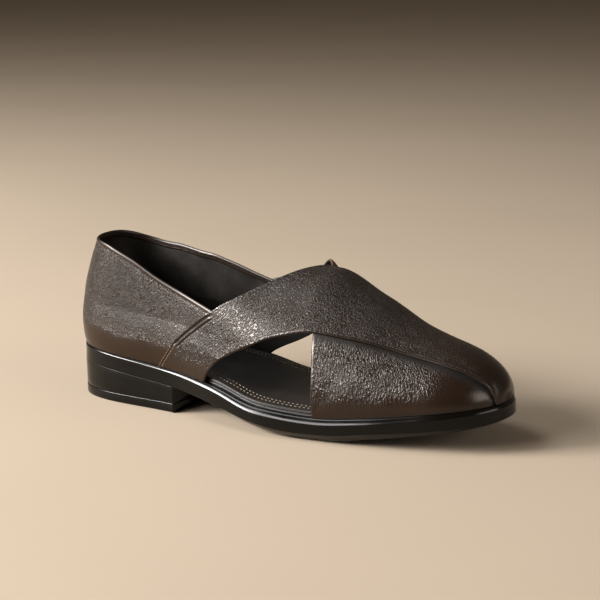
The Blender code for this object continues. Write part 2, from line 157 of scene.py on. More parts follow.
SOLE_BOTTOM = rows_of(
    BottomRow, (0.00, 0.708, 0.708), (0.13, 0.628, 0.628), (0.27, 0.514, 0.514),
    (0.32, 0.472, 0.463), (0.40, 0.394, 0.354), (0.52, 0.205, 0.088), (0.60, 0.140, 0.000),
    (0.68, 0.162, 0.000), (0.76, 0.250, 0.094), (0.88, 0.386, 0.270), (1.00, 0.535, 0.480))

LAST_ROWS = rows_of(
    LastRow, (0.00, 1.470, 2.60, 0.0, 2.4, 1.5), (0.15, 1.290, 2.60, 1.0, 2.8, 2.5),
    (0.30, 1.066, 2.40, 3.0, 3.8, 2.5), (0.40, 0.961, 2.25, 4.0, 4.4, 1.5),
    (0.50, 0.925, 2.15, 5.0, 4.8, 1.0), (0.60, 0.922, 2.10, 5.0, 4.8, 1.0),
    (0.70, 0.744, 2.05, 4.0, 4.8, 1.0), (0.80, 0.514, 1.90, 3.0, 4.6, 1.0),
    (0.90, 0.354, 1.87, 1.5, 4.3, 0.7), (1.00, 0.240, 1.87, 0.0, 4.0, 0.5))

BACK_CURVE = rows_of(
    BackRow, (0.00, -0.3), (0.12, -1.9), (0.25, -2.5), (0.50, -0.6), (0.75, 4.4), (1.00, 10.8),
    (2.00, 28.0))

INSOLE_ROOM = rows_of(
    RoomRow, (0.00, 0.3), (0.80, 0.4), (0.90, 1.2), (0.96, 2.6), (1.00, 3.4))

CROSS_REAR = rows_of(
    RailRow, (0.00, 0.250, -1.000), (0.05, 0.273, -0.935), (0.10, 0.300, -0.855),
    (0.16, 0.345, -0.750), (0.22, 0.397, -0.628), (0.28, 0.447, -0.500), (0.34, 0.497, -0.330),
    (0.39, 0.538, -0.160), (0.43, 0.572, 0.020), (0.48, 0.606, 0.270), (0.53, 0.630, 0.530),
    (0.57, 0.645, 0.790), (0.60, 0.655, 1.000), (0.75, 0.790, 1.000), (0.88, 0.910, 1.000),
    (1.00, 1.000, 1.000))

CROSS_FRONT = rows_of(
    RailRow, (0.00, 0.385, -1.000), (0.05, 0.394, -0.955), (0.10, 0.422, -0.873),
    (0.16, 0.452, -0.806), (0.22, 0.495, -0.722), (0.28, 0.540, -0.650), (0.34, 0.582, -0.607),
    (0.43, 0.650, -0.550), (0.53, 0.735, -0.485), (0.60, 0.800, -0.445), (0.68, 0.860, -0.441),
    (0.75, 0.905, -0.455), (0.82, 0.946, -0.480), (0.87, 0.968, -0.530), (0.91, 0.982, -0.610),
    (0.95, 0.989, -0.780), (0.98, 0.9935, -1.000), (1.00, 1.000, -1.000))

UNDER_REAR = rows_of(
    RailRow, (0.00, 0.250, 1.000), (0.06, 0.273, 0.935), (0.12, 0.300, 0.850),
    (0.18, 0.345, 0.720), (0.24, 0.397, 0.560), (0.31, 0.447, 0.455), (0.38, 0.512, 0.325),
    (0.43, 0.557, 0.170), (0.48, 0.589, 0.030), (0.54, 0.612, -0.260), (0.60, 0.634, -0.565),
    (0.66, 0.647, -0.805), (0.70, 0.655, -1.000), (0.85, 0.830, -1.000), (1.00, 0.998, -1.000))

UNDER_FRONT = rows_of(
    RailRow, (0.00, 0.385, 1.000), (0.06, 0.402, 0.959), (0.12, 0.427, 0.914),
    (0.18, 0.457, 0.861), (0.24, 0.491, 0.794), (0.31, 0.530, 0.710), (0.38, 0.570, 0.640),
    (0.43, 0.600, 0.560), (0.48, 0.635, 0.460), (0.54, 0.680, 0.250), (0.60, 0.725, 0.050),
    (0.70, 0.800, -0.190), (0.85, 0.900, -0.270), (0.97, 0.975, -0.340), (1.00, 0.996, -0.400))

COLLAR = rows_of(
    CollarRow, (-0.430, 0.640), (-0.381, 0.629), (-0.306, 0.620), (-0.241, 0.608),
    (-0.165, 0.585), (-0.100, 0.581), (0.000, 0.606), (0.060, 0.615), (0.100, 0.611),
    (0.170, 0.581), (0.220, 0.557), (0.275, 0.522), (0.340, 0.512), (0.430, 0.520))


def end_slope(step: float, next_step: float, rise: float, next_rise: float) -> float:
    """Return the slope at the end of a table, without overshoot.

    Args:
        step: length of the outermost interval.
        next_step: length of the one beside it.
        rise: slope of the outermost interval.
        next_rise: slope of the one beside it.

    Returns:
        The slope at the end point.
    """
    slope = ((2 * step + next_step) * rise - step * next_rise) / (step + next_step)
    if slope * rise <= 0:
        return 0.0
    if rise * next_rise < 0 and abs(slope) > 3 * abs(rise):
        return 3 * rise
    return slope


def through(places: Sequence[float], values: Sequence[float], at: np.ndarray) -> np.ndarray:
    """Return the monotone cubic through a table's points.

    Args:
        places: rising positions of the rows.
        values: the value of each row.
        at: positions that are asked for.

    Returns:
        The values at those positions.
    """
    places = np.asarray(places, float)
    values = np.asarray(values, float)
    at = np.clip(np.asarray(at, float), places[0], places[-1])
    step = np.diff(places)
    rise = np.diff(values) / step
    slope = np.zeros(len(places))
    for row in range(1, len(places) - 1):
        before = rise[row - 1]
        after = rise[row]
        if before * after > 0:
            long_before = 2 * step[row] + step[row - 1]
            long_after = step[row] + 2 * step[row - 1]
            slope[row] = (long_before + long_after) / (long_before / before + long_after / after)
    slope[0] = end_slope(step[0], step[1], rise[0], rise[1])
    slope[-1] = end_slope(step[-1], step[-2], rise[-1], rise[-2])
    row = np.clip(np.searchsorted(places, at, side="right") - 1, 0, len(places) - 2)
    t = (at - places[row]) / step[row]
    start = (2 * t**3 - 3 * t**2 + 1) * values[row] + (t**3 - 2 * t**2 + t) * step[row] * slope[row]
    finish = (3 * t**2 - 2 * t**3) * values[row + 1] + (t**3 - t**2) * step[row] * slope[row + 1]
    return start + finish


def column(table: Sequence[tuple], name: str, at: np.ndarray) -> np.ndarray:
    """Return one column of a table at positions of its first column."""
    return through([row[0] for row in table], [getattr(row, name) for row in table], at)


def edge(table: Sequence[RailRow], run: np.ndarray) -> tuple[np.ndarray, np.ndarray]:
    """Return share and girth of a strap's edge at places along it."""
    return column(table, "share", run), column(table, "girth", run)


def rounded(start: np.ndarray, power: float) -> np.ndarray:
    """Return the share of the width that is left, for 0 to 1 towards a round end."""
    return (1 - np.clip(start, 0, 1) ** power) ** (1 / power)


def smooth(low: float, high: float, value: np.ndarray) -> np.ndarray:
    """Return a smooth step from 0 at low to 1 at high."""
    t = np.clip((np.asarray(value, float) - low) / (high - low), 0, 1)
    return t * t * (3 - 2 * t)


def hump(value: np.ndarray, centre: float, spread: float) -> np.ndarray:
    """Return a bell of height 1."""
    return np.exp(-(((np.asarray(value, float) - centre) / spread) ** 2))


@dataclass(frozen=True)
class Last:
    """The form inside the shoe, and the sole that it stands on."""

    length: float
    ball_width: float
    instep: float
    heel_lift: float
    origin: tuple[float, float]
    heel_round: float = 33 * MM
    heel_power: float = 2.3
    toe_round: float = 41 * MM
    toe_power: float = 2.3
    back_inset: float = 2.2 * MM
    tip_inset: float = 4.8 * MM
    toe_rise: float = 35 * MM
    toe_rise_power: float = 2.5
    swell_height: float = 30 * MM
    back_height: float = 70 * MM
    back_reach: float = 70 * MM
    seat_gap: float = 0.06 * MM

    @classmethod
    def from_frame(cls) -> "Last":
        """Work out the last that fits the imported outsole.

        Returns:
            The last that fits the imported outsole.
        """
        low, high = (Vector(corner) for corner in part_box("outsole"))
        length = high.x - low.x
        half_shares = (max(row.outer for row in SOLE_OUTLINE),
                       max(row.inner for row in SOLE_OUTLINE))
        ball_width = 2 * (high.y - low.y) / sum(half_shares)
        middle = low.y + half_shares[0] * ball_width / 2
        return cls(length, ball_width, INSTEP, high.z, (low.x, middle))

    def share(self, x: np.ndarray) -> np.ndarray:
        """Return the share of the length at a distance from the heel."""
        return np.asarray(x, float) / self.length

    def top(self, x: np.ndarray) -> np.ndarray:
        """Return the height of the sole's upper face."""
        return column(SOLE_TOP, "height", self.share(x)) * self.heel_lift

    def shoulder(self, x: np.ndarray) -> np.ndarray:
        """Return the drop of the outsole's rounded upper edge."""
        return column(SOLE_TOP, "shoulder", self.share(x)) * MM

    def bottom(self, x: np.ndarray, name: str) -> np.ndarray:
        """Return the underside's height, at its edge or in its middle."""
        return column(SOLE_BOTTOM, name, self.share(x)) * self.heel_lift

    def place(self, points: np.ndarray) -> np.ndarray:
        """Move points from the heel's own axes into the frame.

        Args:
            points: positions, or offsets that end in x, y, z.

        Returns:
            The moved points.
        """
        moved = np.array(points, float)
        moved[..., 0] += self.origin[0]
        moved[..., 1] += self.origin[1]
        return moved

    def point(self, share: np.ndarray, girth: np.ndarray, lay: np.ndarray = 0.0) -> np.ndarray:
        """Return points on the last, or a layer's height above it.

        Args:
            share: 0 at the back of the heel to 1 at the tip.
            girth: -1 at the outer sole edge, 0 on the ridge, 1 at the inner sole edge.
            lay: height above the last.

        Returns:
            An array whose last axis is x, y, z, in the heel's own axes.
        """
        share, girth, lay = np.broadcast_arrays(
            np.asarray(share, float), np.asarray(girth, float), np.asarray(lay, float))
        back = self.back_inset - lay
        tip = self.length - self.tip_inset + lay
        x = back + (tip - back) * share
        place = self.share(x)
        heel = rounded(1 - (x - back) / (self.heel_round - back), self.heel_power)
        toe_start = self.length - self.toe_round
        toe = rounded((x - toe_start) / (tip - toe_start), self.toe_power)
        wide = heel * toe
        tall = rounded(1 - (tip - x) / self.toe_rise, self.toe_rise_power)
        outer = column(SOLE_OUTLINE, "outer", place) * self.ball_width / 2
        inner = column(SOLE_OUTLINE, "inner", place) * self.ball_width / 2
        inset = column(LAST_ROWS, "inset", place) * MM - lay
        ridge = column(LAST_ROWS, "ridge", place) * MM * wide
        half = np.where(girth < 0, (outer - inset) * wide + ridge, (inner - inset) * wide - ridge)
        height = (column(LAST_ROWS, "height", place) * self.instep + lay) * tall
        power = column(LAST_ROWS, "power", place)
        rise = np.clip(np.cos(np.radians(90) * girth), 0, 1)
        z = height * rise
        out = half * (1 - rise**power) ** (1 / power)
        swell = np.sin(np.pi * np.clip(z / self.swell_height, 0, 1) ** 0.8)
        out = out + column(LAST_ROWS, "swell", place) * MM * wide * swell
        y = ridge + np.sign(girth) * out
        fade = np.clip(1 - (x - back) / self.back_reach, 0, 1) ** 2
        level = np.clip(z / self.back_height, 0, 2)
        x = x + column(BACK_CURVE, "shift", level) * MM * fade
        return np.stack([x, y, self.top(x) + self.seat_gap + z], axis=-1)

    def outline(self, stations: np.ndarray, inset: np.ndarray,
                reach: float | None = None) -> tuple[np.ndarray, np.ndarray]:
        """Return the sole outline moved inwards, as outer and inner side points.

        Args:
            stations: distances from the heel where the outline is worked out.
            inset: distance moved inwards, one value or one for each station.
            reach: where the outline is cut square, or None for the whole sole.

        Returns:
            Two arrays of x, y points, outer side and inner side.
        """
        ends = (rounded(1 - stations / self.heel_round, self.heel_power)
                * rounded((stations - self.length + self.toe_round) / self.toe_round,
                          self.toe_power))
        sides = []
        for side in Side:
            name = side.name.lower()
            width = column(SOLE_OUTLINE, name, self.share(stations)) * self.ball_width / 2 * ends
            line = np.stack([stations, side.value * width], axis=-1)
            before = np.roll(line, 1, axis=0)
            after = np.roll(line, -1, axis=0)
            before[0] = line[1] * (1, -1)
            after[-1] = line[-2] * (1, -1) if reach is None else 2 * line[-1] - line[-2]
            along = after - before
            if reach is not None:
                along[-1] = line[-1] - line[-2]
            along /= np.linalg.norm(along, axis=1)[:, None]
            inwards = np.stack([along[:, 1], -along[:, 0]], axis=-1) * side.value
            moved = line + inwards * np.reshape(inset, (-1, 1))
            moved[0, 1] = 0
            if reach is None:
                moved[-1, 1] = 0
            else:
                moved[-1, 0] = reach
            sides.append(moved)
        return sides[0], sides[1]

    def inner_inset(self, stations: np.ndarray, extra: float) -> np.ndarray:
        """Work out how far the insole layers sit inside the sole outline.

        Args:
            stations: distances from the heel.
            extra: distance added to it.

        Returns:
            The inset at each station.
        """
        share = self.share(stations)
        return (column(LAST_ROWS, "inset", share)
                + column(INSOLE_ROOM, "room", share)) * MM + extra


class Shader:
    """A small helper that adds and links the nodes of one material."""

    def __init__(self, name: str) -> None:
        """Make the material and keep its tree and its shader.

        Args:
            name: name of the material.
        """
        self.material = bpy.data.materials.new(name)
        self.material.use_nodes = True
        self.tree = self.material.node_tree
        self.surface = self.tree.nodes["Principled BSDF"]

    def add(self, kind: str, **settings: object) -> bpy.types.Node:
        """Add a node.

        Args:
            kind: its type, without the prefix that all shader nodes have.
            settings: values of its properties or inputs.

        Returns:
            The new node.
        """
        node = self.tree.nodes.new("ShaderNode" + kind)
        for key, value in settings.items():
            label = key.replace("_", " ").title()
            if hasattr(node, key):
                setattr(node, key, value)
            elif label in node.inputs:
                node.inputs[label].default_value = value
            else:
                raise KeyError(f"{kind} has no {key}")
        return node

    def join(self, source: bpy.types.NodeSocket, target: bpy.types.NodeSocket) -> None:
        """Link two sockets."""
        self.tree.links.new(source, target)

    def set(self, **values: object) -> None:
        """Set plain values on the shader's own sockets."""
        for key, value in values.items():
            label = key.replace("_", " ").title().replace("Ior", "IOR")
            self.surface.inputs[label].default_value = value

    def object_space(self, turn: Sequence[float] = (0, 0, 0),
                     scale: Sequence[float] = (1, 1, 1)) -> bpy.types.NodeSocket:
        """Read the object coordinates.

        Args:
            turn: angles about the three axes.
            scale: how much finer the pattern gets along each axis.

        Returns:
            The turned and stretched coordinates.
        """
        coords = self.add("TexCoord")
        mapping = self.add("Mapping", vector_type="TEXTURE")
        mapping.inputs["Rotation"].default_value = turn
        mapping.inputs["Scale"].default_value = tuple(1 / value for value in scale)
        self.join(coords.outputs["Object"], mapping.inputs["Vector"])
        return mapping.outputs["Vector"]

    def noise(self, vector: bpy.types.NodeSocket, scale: float, detail: float = 2.0,
              roughness: float = 0.5) -> bpy.types.NodeSocket:
        """Add a noise.

        Args:
            vector: coordinates that it is read at.
            scale: how fine it is.
            detail: number of finer layers.
            roughness: strength of those layers.

        Returns:
            Its value, 0 to 1.
        """
        node = self.add("TexNoise", scale=scale, detail=detail, roughness=roughness)
        self.join(vector, node.inputs["Vector"])
        return node.outputs["Fac"]

    def attribute(self, name: str) -> bpy.types.NodeSocket:
        """Return a value that the mesh carries at its points."""
        node = self.add("Attribute", attribute_name=name)
        return node.outputs["Fac"]

    def math(self, operation: str, *values: object) -> bpy.types.NodeSocket:
        """Do a sum.

        Args:
            operation: name of the operation.
            values: its sockets or numbers, in order.

        Returns:
            The result.
        """
        node = self.add("Math", operation=operation)
        for place, value in enumerate(values):
            if isinstance(value, bpy.types.NodeSocket):
                self.join(value, node.inputs[place])
            else:
                node.inputs[place].default_value = value
        return node.outputs[0]

    def ramp(self, value: bpy.types.NodeSocket, low: float, high: float,
             new_low: float = 0.0, new_high: float = 1.0) -> bpy.types.NodeSocket:
        """Move a value smoothly from one range to another.

        Args:
            value: the value.
            low: where the old range starts.
            high: where it ends.
            new_low: what low becomes.
            new_high: what high becomes.

        Returns:
            The moved value.
        """
        node = self.add("MapRange", interpolation_type="SMOOTHSTEP")
        self.join(value, node.inputs["Value"])
        for name, number in (("From Min", low), ("From Max", high),
                             ("To Min", new_low), ("To Max", new_high)):
            node.inputs[name].default_value = number
        return node.outputs["Result"]

    def mix(self, factor: object, first: object, second: object) -> bpy.types.NodeSocket:
        """Mix two colours, each a socket or three numbers.

        Args:
            factor: share of the second colour, a socket or a number.
            first: colour at 0.
            second: colour at 1.

        Returns:
            The mixed colour.
        """
        node = self.add("Mix", data_type="RGBA")
        for name, value in (("Factor_Float", factor), ("A_Color", first), ("B_Color", second)):
            socket = next(s for s in node.inputs if s.identifier == name)
            if isinstance(value, bpy.types.NodeSocket):
                self.join(value, socket)
            elif name == "Factor_Float":
                socket.default_value = value
            else:
                socket.default_value = (*value, 1.0)
        return next(s for s in node.outputs if s.identifier == "Result_Color")

    def bump(self, height: bpy.types.NodeSocket, distance: float,
             strength: object) -> bpy.types.NodeSocket:
        """Add relief.

        Args:
            height: the relief, 0 to 1.
            distance: how high 1 stands.
            strength: how much of it shows, a socket or a number.

        Returns:
            The bumped normal.
        """
        node = self.add("Bump", distance=distance)
        self.join(height, node.inputs["Height"])
        if isinstance(strength, bpy.types.NodeSocket):
            self.join(strength, node.inputs["Strength"])
        else:
            node.inputs["Strength"].default_value = strength
        return node.outputs["Normal"]

    def dress(self, colour: bpy.types.NodeSocket, roughness: object,
              normal: bpy.types.NodeSocket) -> None:
        """Finish the surface.

        Args:
            colour: its colour.
            roughness: its roughness, a socket or a number.
            normal: its bumped normal.
        """
        for name, value in (("Base Color", colour), ("Roughness", roughness), ("Normal", normal)):
            if isinstance(value, bpy.types.NodeSocket):
                self.join(value, self.surface.inputs[name])
            else:
                self.surface.inputs[name].default_value = value


@dataclass(frozen=True)
class PebbledLeather:
    """Milled leather: short wavy ridges between dark furrows, with a burnished foot.

    The mesh carries values at its points: grain is how strongly the ridges stand, burnish
    how far the leather is rubbed to plain brown, worn how pale it is bent, and dark how
    far it is darkened by edge ink and by painted shade in channels, under edges, in the
    back seam and just above the sole. The dark furrows between the ridges are painted shade.
    """

    name: str
    lean: float
    ridges: float = 1250.0
    stretch: float = 0.36
    height: float = 0.30 * MM
    colour: Colour = (0.0085, 0.0044, 0.0027)
    # painted shade: colour of the grain's furrows, darker than the ridges
    furrow_shade: Colour = (0.0022, 0.0014, 0.0010)
    burnish: Colour = (0.0125, 0.0060, 0.0031)
    worn: Colour = (0.0750, 0.0430, 0.0240)
    # edge ink and painted shade: colour where the dark value is high
    ink_and_shade: Colour = (0.0013, 0.0010, 0.0008)
    sheen: Colour = (1.0, 0.91, 0.84)
    gloss: float = 0.20
    drift_scale: float = 170.0
    drift_reach: float = 0.0028
    ridge_cut: Band = (0.38, 0.62)
    pore_scale: float = 3600.0
    pore_height: float = 0.10
    patch_scale: float = 45.0
    warm_scale: float = 70.0
    plain_relief: float = 0.015
    furrow_rough: float = 0.34
    ink_and_shade_rough: float = 0.40
    reflection: float = 0.34

    def build(self) -> bpy.types.Material:
        """Build the material.

        Returns:
            The material.
        """
        shader = Shader(self.name)
        grain = shader.attribute("grain")
        burnish = shader.attribute("burnish")
        dark = shader.attribute("dark")
        plain = shader.object_space()
        space = shader.object_space((0, self.lean, 0), (1, 1, self.stretch))
        drift = shader.add("TexNoise", scale=self.drift_scale, detail=1.0)
        shader.join(plain, drift.inputs["Vector"])
        shift = shader.add("VectorMath", operation="MULTIPLY_ADD")
        shader.join(drift.outputs["Color"], shift.inputs[0])
        shift.inputs[1].default_value = (self.drift_reach,) * 3
        shader.join(space, shift.inputs[2])
        worms = shader.noise(shift.outputs[0], self.ridges, 1.0, 0.45)
        ridge = shader.ramp(worms, *self.ridge_cut)
        fine = shader.noise(plain, self.pore_scale, 2.0)
        broad = shader.noise(plain, self.patch_scale, 3.0)
        relief = shader.math("MULTIPLY_ADD", fine, self.pore_height, ridge)
        depth = shader.math("MULTIPLY", shader.ramp(broad, 0.3, 0.7, 0.75, 1.15), grain)
        depth = shader.math("MULTIPLY_ADD", grain, 0.06, depth)
        depth = shader.math("ADD", depth, self.plain_relief)
        normal = shader.bump(relief, self.height, depth)
        low = shader.math("MULTIPLY", shader.math("SUBTRACT", 1.0, ridge), grain)
        warm = shader.ramp(shader.noise(plain, self.warm_scale, 4.0), 0.35, 0.75, 0.75, 1.1)
        colour = shader.mix(shader.math("MULTIPLY", warm, burnish), self.colour, self.burnish)
        colour = shader.mix(shader.attribute("worn"), colour, self.worn)
        # painted shade: the furrows between the ridges take the darker colour
        colour = shader.mix(low, colour, self.furrow_shade)
        # edge ink and painted shade, from the dark value
        colour = shader.mix(dark, colour, self.ink_and_shade)
        rough = shader.math("MULTIPLY_ADD", low, self.furrow_rough, self.gloss)
        rough = shader.math("MULTIPLY_ADD", shader.ramp(broad, 0.3, 0.7), 0.06, rough)
        rough = shader.math("MULTIPLY_ADD", burnish, 0.02, rough)
        rough = shader.math("MULTIPLY_ADD", dark, self.ink_and_shade_rough, rough)
        shader.set(specular_ior_level=self.reflection, specular_tint=(*self.sheen, 1.0))
        shader.dress(colour, rough, normal)
        return shader.material


@dataclass(frozen=True)
class SmoothLeather:
    """Plain lining or insole leather with a faint grain and rubbed patches."""

    name: str
    colour: Colour
    worn: Colour
    roughness: float = 0.48
    height: float = 0.10 * MM

    def build(self) -> bpy.types.Material:
        """Build the material.

        Returns:
            The material.
        """
        shader = Shader(self.name)
        space = shader.object_space()
        pores = shader.noise(space, 1500.0, 3.0, 0.6)
        patches = shader.noise(space, 32.0, 4.0, 0.6)
        colour = shader.mix(shader.ramp(patches, 0.35, 0.75), self.colour, self.worn)
        rough = shader.ramp(patches, 0.3, 0.7, self.roughness - 0.06, self.roughness + 0.08)
        shader.set(specular_ior_level=0.30)
        shader.dress(colour, rough, shader.bump(pores, self.height, 0.6))
        return shader.material


@dataclass(frozen=True)
class PolishedRubber:
    """Sole or heel finish: dark, inked and polished, with light rub marks."""

    name: str
    colour: Colour = (0.0014, 0.0011, 0.0008)
    scuff: Colour = (0.022, 0.018, 0.014)
    roughness: float = 0.14
    scuffs: float = 0.22
    height: float = 0.03 * MM

    def build(self) -> bpy.types.Material:
        """Build the material.

        Returns:
            The material.
        """
        shader = Shader(self.name)
        space = shader.object_space()
        flow = shader.object_space((0, 0, 0), (0.35, 0.35, 1.0))
        ripple = shader.noise(flow, 260.0, 3.0)
        specks = shader.noise(flow, 900.0, 4.0, 0.7)
        marks = shader.ramp(specks, 0.66, 0.80, 0.0, self.scuffs)
        colour = shader.mix(marks, self.colour, self.scuff)
        cloud = shader.noise(space, 60.0, 3.0)
        rough = shader.ramp(cloud, 0.3, 0.75, self.roughness, self.roughness + 0.09)
        rough = shader.math("MULTIPLY_ADD", marks, 0.5, rough)
        normal = shader.bump(ripple, self.height, 0.7)
        shader.set(specular_ior_level=0.20)
        shader.dress(colour, rough, normal)
        return shader.material


@dataclass(frozen=True)
class RawEdge:
    """Cut fibre edge with thin layers."""

    name: str
    colour: Colour = (0.010, 0.008, 0.007)
    pale: Colour = (0.045, 0.038, 0.034)

    def build(self) -> bpy.types.Material:
        """Build the material.

        Returns:
            The material.
        """
        shader = Shader(self.name)
        space = shader.object_space((0, 0, 0), (0.25, 0.25, 2.2))
        layers = shader.noise(space, 900.0, 3.0)
        colour = shader.mix(shader.ramp(layers, 0.45, 0.8), self.colour, self.pale)
        shader.dress(colour, 0.6, shader.bump(layers, 0.25 * MM, 0.8))
        return shader.material


@dataclass(frozen=True)
class Thread:
    """Waxed twisted thread."""

    name: str
    colour: Colour
    roughness: float = 0.5

    def build(self) -> bpy.types.Material:
        """Build the material.

        Returns:
            The material.
        """
        shader = Shader(self.name)
        space = shader.object_space((0, 0, 0.6))
        twist = shader.add("TexWave", scale=900.0, distortion=0.6)
        shader.join(space, twist.inputs["Vector"])
        # painted shade: the hollows of the twist take the darker colour
        dark = tuple(value * 0.45 for value in self.colour)
        colour = shader.mix(shader.ramp(twist.outputs["Fac"], 0.2, 0.8), dark, self.colour)
        normal = shader.bump(twist.outputs["Fac"], 0.08 * MM, 0.6)
        shader.dress(colour, self.roughness, normal)
        return shader.material


@dataclass(frozen=True)
class PaleGround:
    """Plain pale matt floor."""

    name: str = "pale_ground"
    colour: Colour = (0.258, 0.210, 0.158)

    def build(self) -> bpy.types.Material:
        """Build the material.

        Returns:
            The material.
        """
        shader = Shader(self.name)
        space = shader.object_space()
        cloud = shader.noise(space, 3.0, 3.0)
        paler = tuple(min(1.0, value * 1.04) for value in self.colour)
        colour = shader.mix(shader.ramp(cloud, 0.3, 0.7), self.colour, paler)
        fine = shader.noise(space, 400.0, 2.0)
        shader.set(specular_ior_level=0.08)
        shader.dress(colour, 0.85, shader.bump(fine, 0.1 * MM, 0.3))
        return shader.material


class Piece:
    """Points, faces and point values that become one mesh object."""

    def __init__(self) -> None:
        """Start with nothing."""
        self.points: list[np.ndarray] = []
        self.faces: list[np.ndarray] = []
        self.slots: list[np.ndarray] = []
        self.values: dict[str, list[np.ndarray]] = {}
        self.count = 0

    def add(self, points: np.ndarray, faces: np.ndarray, slots: np.ndarray | int = 0,
            **values: np.ndarray) -> None:
        """Add a patch of points and four-cornered faces.

        Args:
            points: (n, 3) positions.
            faces: (m, 4) point numbers of this patch; a repeated number makes a triangle.
            slots: material number of each face.
            values: named values at the points.
        """
        self.points.append(np.reshape(points, (-1, 3)))
        self.faces.append(np.asarray(faces) + self.count)
        self.slots.append(np.broadcast_to(slots, (len(faces),)))
        for name, value in values.items():
            self.values.setdefault(name, []).append(np.ravel(value))
        self.count += len(self.points[-1])

    def make(self, name: str, finishes: Sequence[bpy.types.Material]) -> bpy.types.Object:
        """Weld the patches into one object and shade it smooth.

        Args:
            name: name of the object.
            finishes: its materials, in slot order.

        Returns:
            The object.
        """
        points = np.concatenate(self.points)
        faces = np.concatenate(self.faces)
        slots = np.concatenate(self.slots)
        keys = np.round(points / 2e-6).astype(np.int64)
        _, first, back = np.unique(keys, axis=0, return_index=True, return_inverse=True)
        faces = np.ravel(back)[faces]
        lists = []
        kept = []
        for number, face in enumerate(faces.tolist()):
            corners = list(dict.fromkeys(face))
            if len(corners) > 2:
                lists.append(corners)
                kept.append(number)
        mesh = bpy.data.meshes.new(name)
        mesh.from_pydata(points[first].tolist(), [], lists)
        mesh.polygons.foreach_set("material_index", slots[kept].astype(np.int32))
        for label, parts in self.values.items():
            layer = mesh.attributes.new(label, "FLOAT", "POINT")
            layer.data.foreach_set("value", np.concatenate(parts)[first].astype(np.float32))
        for finish in finishes:
            mesh.materials.append(finish)
        mesh.validate()
        mesh.shade_smooth()
        made = bpy.data.objects.new(name, mesh)
        bpy.context.scene.collection.objects.link(made)
        return made


def grid_faces(columns: int, rows: int, start: int = 0, flip: bool = False) -> np.ndarray:
    """Join a grid of points, columns first.

    Args:
        columns: number of columns.
        rows: number of points in each.
        start: number of the first point.
        flip: true to face the other way.

    Returns:
        The four-cornered faces.
    """
    col, row = np.meshgrid(np.arange(columns - 1), np.arange(rows - 1), indexing="ij")
    corner = (start + col * rows + row).ravel()
    faces = np.stack([corner, corner + rows, corner + rows + 1, corner + 1], axis=-1)
    return faces[:, ::-1] if flip else faces


def wall_between(first: np.ndarray, second: np.ndarray, flip: bool = False) -> np.ndarray:
    """Return faces between two rows of point numbers."""
    faces = np.stack([first[:-1], first[1:], second[1:], second[:-1]], axis=-1)
    return faces[:, ::-1] if flip else faces


def settle(made: bpy.types.Object, slot: str, *replaced: str) -> bpy.types.Object:
    """Ride a piece on the shoe and hide the nodes that it replaces.

    Args:
        made: the piece.
        slot: not used.
        replaced: nodes that it replaces.

    Returns:
        The same piece.
    """
    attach(made, ROOT)
    if replaced:
        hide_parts(*replaced)
    log.info("%s: %d faces", made.name, len(made.data.polygons))
    return made


def crowded(count: int, width: np.ndarray, near: Sequence[float]) -> np.ndarray:
    """Return distances across a strap that crowd at both edges.

    Args:
        count: number of points across.
        width: width of the strap at each place along it.
        near: distances of the first points from an edge, for a wide strap.

    Returns:
        Distances from the rear edge, (places, count).
    """
    width = np.asarray(width, float)[:, None]
    near = np.asarray(near, float)[None, :]
    scale = np.minimum(1.0, width / (4 * near[0, -1]))
    left = near * scale
    inside = np.linspace(0, 1, count - 2 * near.shape[1] + 2)[None, 1:-1]
    first = left[:, -1:]
    middle = first + (width - 2 * first) * inside
    return np.concatenate([left, middle, (width - left)[:, ::-1]], axis=1)


@dataclass(frozen=True)
class Leathers:
    """The two sides of one leather part."""

    face: bpy.types.Material
    lining: bpy.types.Material


